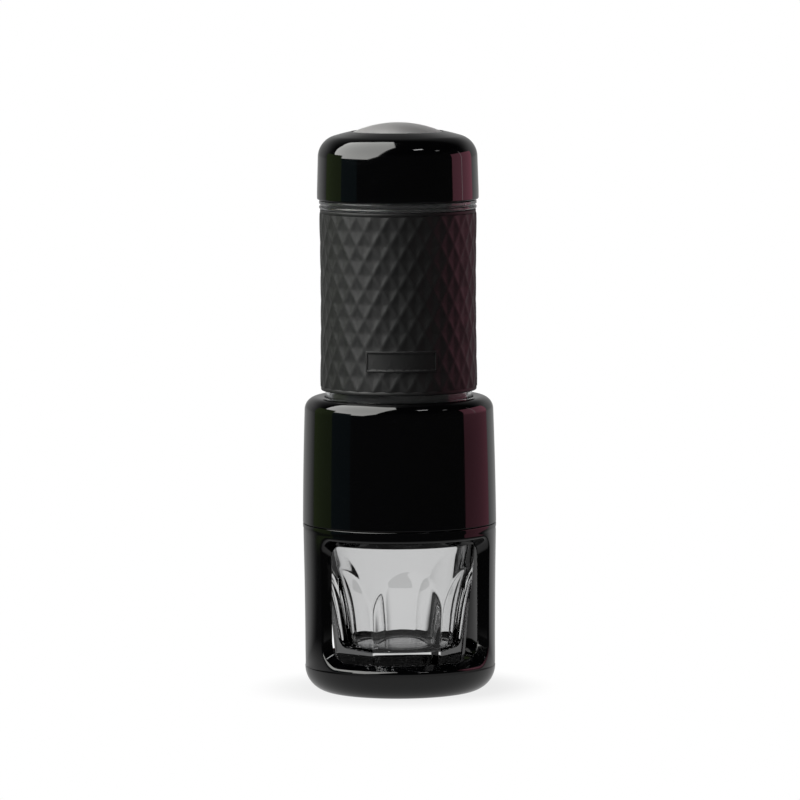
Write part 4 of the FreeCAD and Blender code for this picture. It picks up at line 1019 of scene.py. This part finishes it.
def make_plate(sizes):
    """The framed blank plate moulded on the lower front of the sleeve."""
    middle_level = 128.0 * MM
    middle = math.radians(-4.5)
    half_high = 3.95 * MM
    half_wide = 14.0 * MM
    border = 0.75 * MM
    face = sizes.sleeve_radius - 0.30 * MM
    crest = sizes.sleeve_radius + 0.02 * MM
    back = sizes.sleeve_radius - 1.0 * MM
    soft = 0.16 * MM
    face_inset = border + soft * 0.6
    steps_wide = 44
    steps_high = 12
    frame_outline = [(0, back), (0, crest - soft), (soft * 0.35, crest - soft * 0.3), (soft, crest),
                     (border - soft, crest), (border - soft * 0.35, crest - soft * 0.3),
                     (border, face + soft * 0.6), (face_inset, face)]

    def on_sleeve(radius, across, up):
        """A point on the sleeve, given from the plate's middle."""
        return at(radius, middle + across / radius, middle_level + up)

    def around(radius, wide, tall):
        """A loop of points round the plate."""
        loop = stretch((-wide, -tall), (wide, -tall), steps_wide)
        loop += stretch((wide, -tall), (wide, tall), steps_high)
        loop += stretch((wide, tall), (-wide, tall), steps_wide)
        loop += stretch((-wide, tall), (-wide, -tall), steps_high)
        return [on_sleeve(radius, across, up) for across, up in loop]

    def sheet(radius, wide, tall):
        """Rows of points that fill such a loop."""
        return [[on_sleeve(radius, -wide + 2 * wide * step / steps_wide, -tall + 2 * tall * row / steps_high)
                 for step in range(steps_wide + 1)] for row in range(steps_high + 1)]

    mesh = bmesh.new()
    add_strip(mesh, [around(radius, half_wide - inset, half_high - inset)
                     for inset, radius in frame_outline])
    add_strip(mesh, sheet(face, half_wide - face_inset, half_high - face_inset), closed=False)
    add_strip(mesh, sheet(back, half_wide, half_high), closed=False)
    return finished("sleeve_plate", mesh, material_of("black_silicone"), flat_angle=60)


# The cap and its crown.


def arc_points(middle, radius, first, last, steps):
    """Points of an arc about a middle, from one angle to another."""
    points = []
    for step in range(steps + 1):
        angle = first + (last - first) * step / steps
        points.append((middle[0] + radius * math.cos(angle), middle[1] + radius * math.sin(angle)))
    return points


def make_cap(sizes):
    """The handle's cap: a domed shell with a seat for the metal disc."""
    low = low_of("handle_cap")
    top = high_of("crown_disc") - sizes.crown_proud
    outer = reach_of("handle_cap")
    side = outer - 0.4 * MM
    shoulder = sizes.cap_shoulder
    wall = 2 * MM
    across = side - shoulder
    dome_middle = top - sizes.cap_dome
    level = dome_middle + math.sqrt((sizes.cap_dome - shoulder) ** 2 - across * across)
    meet = math.atan2(level - dome_middle, across)
    seat = sizes.crown_radius + sizes.crown_groove
    seat_low = low_of("crown_disc")
    ceiling = level + shoulder - wall
    soft = 0.25 * MM
    skirt = [(outer - wall, low + 1 * MM), (outer - wall, low, 0.3 * MM), (outer, low, 0.6 * MM),
             (outer, low + 3 * MM)]
    outline = [tuple(point) for point in rounded(skirt, 6)]
    outline += arc_points((across, level), shoulder, 0, meet, 26)
    edge_angle = math.acos((seat + soft) / sizes.cap_dome)
    outline += arc_points((0, dome_middle), sizes.cap_dome, meet, edge_angle, 10)[1:]
    edge_level = outline[-1][1]
    outline += [(seat + soft * 0.3, edge_level - soft * 0.1), (seat, edge_level - soft * 0.7)]
    seat_edge = 0.1 * MM
    outline += [(seat, seat_low + seat_edge), (seat - seat_edge, seat_low), (0, seat_low)]
    mesh = bmesh.new()
    turn(mesh, outline, closed=False)
    inner = [(0, ceiling)] + arc_points((across, level), shoulder - wall, QUARTER, 0, 8)
    inner += [(side - wall + 0.1 * MM, low + 8 * MM), (outer - wall, low + 1 * MM)]
    turn(mesh, inner, closed=False)
    return finished("cap_shell", mesh, material_of("black_gloss"))


def make_crown(sizes):
    """The metal disc in the cap, with its own dome and a fine rounded edge."""
    low = low_of("crown_disc") + 0.02 * MM
    top = high_of("crown_disc")
    radius = sizes.crown_radius
    soft = 0.3 * MM
    dome_middle = top - sizes.crown_dome
    edge_angle = math.acos((radius - soft) / sizes.crown_dome)
    dome = arc_points((0, dome_middle), sizes.crown_dome, edge_angle, QUARTER, 18)
    edge_level = dome[0][1]
    outline = [(0, low), (radius, low), (radius, edge_level - soft),
               (radius - soft * 0.1, edge_level - soft * 0.55),
               (radius - soft * 0.4, edge_level - soft * 0.18)] + dome
    outline[-1] = (0, top)
    mesh = bmesh.new()
    turn(mesh, outline, closed=False)
    return finished("crown_plate", mesh, material_of("crown_metal"))


# Pieces inside, which show when the maker is apart.


def make_from_cad(node, slot):
    """A copy of a CAD node, welded, with its hard edges broken and its round walls smooth."""
    mesh = bmesh.new()
    mesh.from_mesh(frame["nodes"][node].data)
    bmesh.ops.remove_doubles(mesh, verts=mesh.verts, dist=0.001 * MM)
    bmesh.ops.dissolve_limit(mesh, angle_limit=math.radians(0.5), verts=mesh.verts, edges=mesh.edges)
    hard_angle = math.radians(28)
    hard = [edge for edge in mesh.edges
            if len(edge.link_faces) == 2 and edge.calc_face_angle(0) > hard_angle]
    if hard:
        bmesh.ops.bevel(mesh, geom=hard, offset=0.12 * MM, segments=2, affect="EDGES", profile=0.5,
                        clamp_overlap=True)
    return finished(node + "_finished", mesh, material_of(slot))


# The camera, lights and floor.

# Smooth steps as (from, to, strength before, strength after).
# The first two run over how far a direction points away from the camera, the third over its rise.
# The white behind ends at the strength that the stage's settings give it.
THROUGH_CLEAR = (0.8, 0.955, 0.12, 0.64)
WHITE_BEHIND = (0.38, 0.8, 0.03)
LESS_OVERHEAD = (0.25, 0.6, 1, 0.3)
# These run over the distance from the maker's axis: the floor in gloss, and the fading shadow.
FLOOR_IN_GLOSS = (0.05, 0.2, 0.5, 0)
SHADOW_FADE = (0.034, 0.062, 0.82, 1)


def seen_place(stage, across, back, level):
    """A place given as the camera sees it: to the right, away from it and up."""
    turned = Matrix.Rotation(stage.camera_turn, 3, "Z")
    return turned @ Vector((across, back, level))


def make_camera(stage):
    """The camera at the photograph's angle."""
    data = bpy.data.cameras.new("camera")
    data.sensor_width = 36
    data.lens = stage.lens
    data.clip_end = 50
    camera = bpy.data.objects.new("camera", data)
    bpy.context.scene.collection.objects.link(camera)
    camera.location = seen_place(stage, stage.aim_across, -stage.camera_distance, stage.camera_height)
    aim = seen_place(stage, stage.aim_across, 0, stage.aim_height)
    facing = (aim - camera.location).to_track_quat("-Z", "Y").to_matrix()
    camera.rotation_euler = (facing @ Matrix.Rotation(stage.roll, 3, "Z")).to_euler()
    bpy.context.scene.camera = camera


class Shading(Nodes):
    """Short ways to build the tree of the world or of a stage material from nothing."""

    def __init__(self, tree):
        super().__init__(tree)
        tree.nodes.clear()

    def mix(self, share, first, second):
        """A mix of two shaders."""
        made = self.node("ShaderNodeMixShader")
        for socket, output in zip(made.inputs, (share, first, second)):
            self.join(output, socket)
        return made.outputs[0]

    def ramp(self, value, start, end, before, after):
        """A smooth step of a value from start to end, between two strengths."""
        made = self.node("ShaderNodeMapRange", clamp=True, interpolation_type="SMOOTHSTEP")
        self.join(value, made.inputs["Value"])
        for name, number in (("From Min", start), ("From Max", end), ("To Min", before), ("To Max", after)):
            made.inputs[name].default_value = number
        return made.outputs["Result"]

    def backward(self, direction, stage):
        """How far a direction points away from the camera, from -1 to 1."""
        facing = self.node("ShaderNodeVectorMath", operation="DOT_PRODUCT")
        self.join(direction, facing.inputs[0])
        facing.inputs[1].default_value = seen_place(stage, 0, 1, 0)
        return facing.outputs["Value"]

    def by_ray(self, others, mirrored, through, seen):
        """A shader that differs for rays from gloss, through clear pieces and from the camera."""
        path = self.node("ShaderNodeLightPath")
        mixed = self.mix(path.outputs["Is Glossy Ray"], others, mirrored)
        mixed = self.mix(path.outputs["Is Transmission Ray"], mixed, through)
        return self.mix(path.outputs["Is Camera Ray"], mixed, seen)


def make_world(stage):
    """Even light all round; the camera sees white, gloss and clear pieces see it only behind."""
    world = bpy.data.worlds.new("studio")
    bpy.context.scene.world = world
    world.use_nodes = True
    shading = Shading(world.node_tree)
    even, mirrored, through, white = [shading.node("ShaderNodeBackground") for _ in range(4)]
    even.inputs["Strength"].default_value = stage.sky
    direction = shading.node("ShaderNodeTexCoord").outputs["Generated"]
    parts = shading.node("ShaderNodeSeparateXYZ")
    shading.join(direction, parts.inputs[0])
    backward = shading.backward(direction, stage)
    overhead = shading.ramp(parts.outputs["Z"], *LESS_OVERHEAD)
    behind = shading.ramp(backward, *WHITE_BEHIND, stage.behind)
    shading.join(shading.math("MULTIPLY", behind, overhead), mirrored.inputs["Strength"])
    shading.join(shading.ramp(backward, *THROUGH_CLEAR), through.inputs["Strength"])
    output = shading.node("ShaderNodeOutputWorld")
    mixed = shading.by_ray(even.outputs[0], mirrored.outputs[0], through.outputs[0], white.outputs[0])
    shading.join(mixed, output.inputs["Surface"])


def make_floor(stage):
    """A pale floor that keeps the maker's shadow and fades into the white behind it."""
    mesh = bmesh.new()
    reach = [0, 0.15, 0.4, 1, 2.5, 6, 14]
    turn(mesh, [(radius, 0) for radius in reach], even_angles(64), closed=False)
    floor = linked("floor", mesh)
    material = bpy.data.materials.new("pale_floor")
    material.use_nodes = True
    shading = Shading(material.node_tree)
    matt = shading.node("ShaderNodeBsdfDiffuse")
    matt.inputs["Color"].default_value = (0.92, 0.92, 0.92, 1)
    white, mirrored, through = [shading.node("ShaderNodeEmission") for _ in range(3)]
    where = shading.node("ShaderNodeTexCoord").outputs["Object"]
    away = shading.node("ShaderNodeVectorMath", operation="LENGTH")
    shading.join(where, away.inputs[0])
    away = away.outputs["Value"]
    direction = shading.node("ShaderNodeVectorMath", operation="NORMALIZE")
    shading.join(where, direction.inputs[0])
    backward = shading.backward(direction.outputs[0], stage)
    behind = shading.ramp(backward, *WHITE_BEHIND, stage.behind)
    near = shading.ramp(away, *FLOOR_IN_GLOSS)
    shading.join(shading.math("MAXIMUM", behind, near), mirrored.inputs["Strength"])
    shading.join(shading.ramp(backward, *THROUGH_CLEAR), through.inputs["Strength"])
    faded = shading.mix(shading.ramp(away, *SHADOW_FADE), matt.outputs[0], white.outputs[0])
    output = shading.node("ShaderNodeOutputMaterial")
    mixed = shading.by_ray(matt.outputs[0], mirrored.outputs[0], through.outputs[0], faded)
    shading.join(mixed, output.inputs["Surface"])
    floor.data.materials.append(material)


def make_card(name, corners, tint, strengths, levels, faces=None):
    """A glowing card that only shows as a reflection; its strength changes between two levels."""
    data = bpy.data.meshes.new(name)
    data.from_pydata(corners, [], faces or [list(range(len(corners)))])
    card = bpy.data.objects.new(name, data)
    bpy.context.scene.collection.objects.link(card)
    card.visible_camera = False
    card.visible_diffuse = False
    card.visible_transmission = False
    card.visible_shadow = False
    material = bpy.data.materials.new(name)
    material.use_nodes = True
    shading = Shading(material.node_tree)
    glow = shading.node("ShaderNodeEmission")
    glow.inputs["Color"].default_value = (*tint, 1)
    parts = shading.node("ShaderNodeSeparateXYZ")
    shading.join(shading.node("ShaderNodeTexCoord").outputs["Object"], parts.inputs[0])
    passed = shading.node("ShaderNodeLightPath").outputs["Transmission Depth"]
    not_through_glass = shading.math("LESS_THAN", passed, 0.5)
    strength = shading.ramp(parts.outputs["Z"], *levels, *strengths)
    shading.join(shading.math("MULTIPLY", strength, not_through_glass), glow.inputs["Strength"])
    output = shading.node("ShaderNodeOutputMaterial")
    shading.join(glow.outputs[0], output.inputs["Surface"])
    data.materials.append(material)


def make_spot_card(stage, name, turned, raised, half_wide, half_tall, strength):
    """A small card a metre from the cap, given by two angles in degrees as the camera sees it."""
    facing = Matrix.Rotation(math.radians(turned), 3, "Z") @ Matrix.Rotation(math.radians(-raised), 3, "X")
    corners = []
    for across, up in ((-1, -1), (1, -1), (1, 1), (-1, 1)):
        corner = facing @ Vector((across * half_wide, -1, up * half_tall))
        corners.append(seen_place(stage, corner.x, corner.y, corner.z + high_of("handle_cap")))
    make_card(name, corners, (1, 1, 1), (strength, strength), (0, 1))


def make_side_card(stage, name, across, back, reach, tint, strengths, levels=(0.07, 0.15)):
    """An upright card beside the maker, from one place to another along the camera's view."""
    corners = [(across, back[0], reach[0]), (across, back[1], reach[0]), (across, back[1], reach[1]),
               (across, back[0], reach[1])]
    make_card(name, [seen_place(stage, *corner) for corner in corners], tint, strengths, levels)


def make_soft_box(stage):
    """The large soft box: it rises at the left, bends over the maker and ends above it."""
    # Places as across, back and up in the camera's view, traced from the highlight on the cap.
    middle = (-1.12, -0.75, 1.27)
    outline = [(-0.75, 0.84, 1.48), (-0.43, 0.59, 1.74), (-0.07, 0.5, 1.83), (-0.07, -0.59, 1.81),
               (-0.48, -1.15, 1.39), (-0.8, -1.42, 0.78), (-1.19, -1.25, 0.32), (-1.54, -0.77, 0.32),
               (-1.72, -0.12, 0.32), (-1.7, 0.28, 0.24), (-1.6, 0.46, 0.62), (-1.39, 0.57, 1.03),
               (-1.13, 0.65, 1.31)]
    count = len(outline)
    fan = [(0, corner + 1, (corner + 1) % count + 1) for corner in range(count)]
    make_card("soft_box", [seen_place(stage, *place) for place in [middle] + outline], (1, 1, 0.97),
              (6.2, 5.4), (0.3, 1.5), fan)


def make_lights(stage):
    """Two wide suns for even light, and cards that only show as reflections."""
    for name, energy, toward, spread_angle in (
            ("key_sun", stage.key, (-2.0, -0.9, 1.5), 30),
            ("fill_sun", stage.fill, (1.6, -0.8, 1.6), 70)):
        data = bpy.data.lights.new(name, "SUN")
        data.energy = energy
        data.angle = math.radians(spread_angle)
        sun = bpy.data.objects.new(name, data)
        bpy.context.scene.collection.objects.link(sun)
        sun.rotation_euler = Vector(toward).to_track_quat("Z", "Y").to_euler()
        sun.visible_glossy = False
    make_soft_box(stage)
    make_side_card(stage, "right_card", 0.4, (-0.055, 0.34), (0, 0.325), (1, 0.37, 0.5), (0.42, 0.9))
    make_side_card(stage, "left_card", -0.4, (-0.03, 0.24), (0, 0.3), (0.74, 1, 0.42), (0.15, 0.2))
    make_side_card(stage, "left_front_card", -0.4, (-0.24, -0.03), (0, 0.225), (0.6, 0.9, 1), (0.07, 0.09))
    make_side_card(stage, "thin_card", 0.385, (0.078, 0.086), (0.1, 0.36), (1, 0.8, 0.85), (0.5, 1.6),
                   levels=(0.1, 0.15))
    make_spot_card(stage, "small_card", 40.4, 51.8, 0.1, 0.034, 9.0)
    make_spot_card(stage, "smaller_card", 70.0, 38.2, 0.05, 0.028, 2.4)


# Operators.


class ESPRESSO_OT_base(bpy.types.Operator):
    """Build the windowed base with its foot ring and mat"""

    bl_idname = "espresso.base"
    bl_label = "Base"

    def execute(self, context):
        sizes = context.scene.maker_sizes
        place(make_base(sizes), "base", "black_gloss", "base_housing")
        place(make_foot(), "base", "black_silicone", "foot_ring")
        place(make_mat(), "base", "black_silicone", "cup_mat")
        return {"FINISHED"}


class ESPRESSO_OT_cup(bpy.types.Operator):
    """Build the glass cup"""

    bl_idname = "espresso.cup"
    bl_label = "Glass cup"

    def execute(self, context):
        place(make_cup(), "cup", "cup_glass", "glass_cup")
        return {"FINISHED"}


class ESPRESSO_OT_head(bpy.types.Operator):
    """Build the brew head's housing"""

    bl_idname = "espresso.head"
    bl_label = "Brew head"

    def execute(self, context):
        place(make_head_shell(context.scene.maker_sizes), "head", "black_gloss", "brew_housing")
        return {"FINISHED"}


class ESPRESSO_OT_tank(bpy.types.Operator):
    """Build the clear tank"""

    bl_idname = "espresso.tank"
    bl_label = "Tank"

    def execute(self, context):
        place(make_tank(context.scene.maker_sizes), "tank", "clear_tank", "water_tank")
        return {"FINISHED"}


class ESPRESSO_OT_sleeve(bpy.types.Operator):
    """Build the grip sleeve with its net of diamonds and its plate"""

    bl_idname = "espresso.sleeve"
    bl_label = "Grip sleeve"

    def execute(self, context):
        sizes = context.scene.maker_sizes
        place(make_sleeve(sizes), "tank", "black_silicone", "grip_sleeve")
        place(make_plate(sizes), "tank", "black_silicone")
        return {"FINISHED"}


class ESPRESSO_OT_cap(bpy.types.Operator):
    """Build the handle's cap and its metal disc"""

    bl_idname = "espresso.cap"
    bl_label = "Handle cap"

    def execute(self, context):
        sizes = context.scene.maker_sizes
        place(make_cap(sizes), "handle", "black_gloss", "handle_cap")
        place(make_crown(sizes), "handle", "crown_metal", "crown_disc")
        return {"FINISHED"}


class ESPRESSO_OT_inside(bpy.types.Operator):
    """Dress the pieces inside, which show when the maker is apart"""

    bl_idname = "espresso.inside"
    bl_label = "Inner pieces"

    def execute(self, context):
        behaviour = frame["record"]["behaviour"]["bodies"]
        slots = {row["node"]: row["material_slot"] for row in frame["record"]["subparts"]}
        dressed = {"base_housing", "foot_ring", "cup_mat", "glass_cup", "brew_housing", "water_tank",
                   "grip_sleeve", "handle_cap", "crown_disc"}
        for body, nodes in behaviour.items():
            for node in nodes:
                if node in dressed:
                    continue
                slot = slots[node]
                place(make_from_cad(node, slot), body, slot, node)
        return {"FINISHED"}


class ESPRESSO_OT_stage(bpy.types.Operator):
    """Set up the floor, the lights and the camera"""

    bl_idname = "espresso.stage"
    bl_label = "Stage"

    def execute(self, context):
        stage = context.scene.maker_stage
        make_camera(stage)
        make_world(stage)
        make_floor(stage)
        make_lights(stage)
        context.scene.view_settings.view_transform = "Standard"
        return {"FINISHED"}


class ESPRESSO_PT_panel(bpy.types.Panel):
    """Lists the maker's operators and settings"""

    bl_label = "Espresso maker"
    bl_idname = "ESPRESSO_PT_panel"
    bl_space_type = "VIEW_3D"
    bl_region_type = "UI"
    bl_category = "Espresso"

    def draw(self, context):
        column = self.layout.column()
        for operator in OPERATORS:
            column.operator(operator.bl_idname)
        for group in (context.scene.maker_sizes, context.scene.maker_colours, context.scene.maker_stage):
            for name in group.__annotations__:
                column.prop(group, name)


OPERATORS = (ESPRESSO_OT_base, ESPRESSO_OT_cup, ESPRESSO_OT_head, ESPRESSO_OT_tank, ESPRESSO_OT_sleeve,
             ESPRESSO_OT_cap, ESPRESSO_OT_inside, ESPRESSO_OT_stage)
SETTINGS = {"maker_sizes": MakerSizes, "maker_colours": MakerColours, "maker_stage": MakerStage}


def register():
    for group in SETTINGS.values():
        bpy.utils.register_class(group)
    for name, group in SETTINGS.items():
        setattr(bpy.types.Scene, name, bpy.props.PointerProperty(type=group))
    for operator in OPERATORS:
        bpy.utils.register_class(operator)
    bpy.utils.register_class(ESPRESSO_PT_panel)


def unregister():
    bpy.utils.unregister_class(ESPRESSO_PT_panel)
    for operator in reversed(OPERATORS):
        bpy.utils.unregister_class(operator)
    for name in SETTINGS:
        delattr(bpy.types.Scene, name)
    for group in reversed(list(SETTINGS.values())):
        bpy.utils.unregister_class(group)


def main():
    """Registers the add-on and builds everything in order."""
    register()
    for operator in OPERATORS:
        category, name = operator.bl_idname.split(".")
        getattr(getattr(bpy.ops, category), name)()


if __name__ == "__main__":
    main()
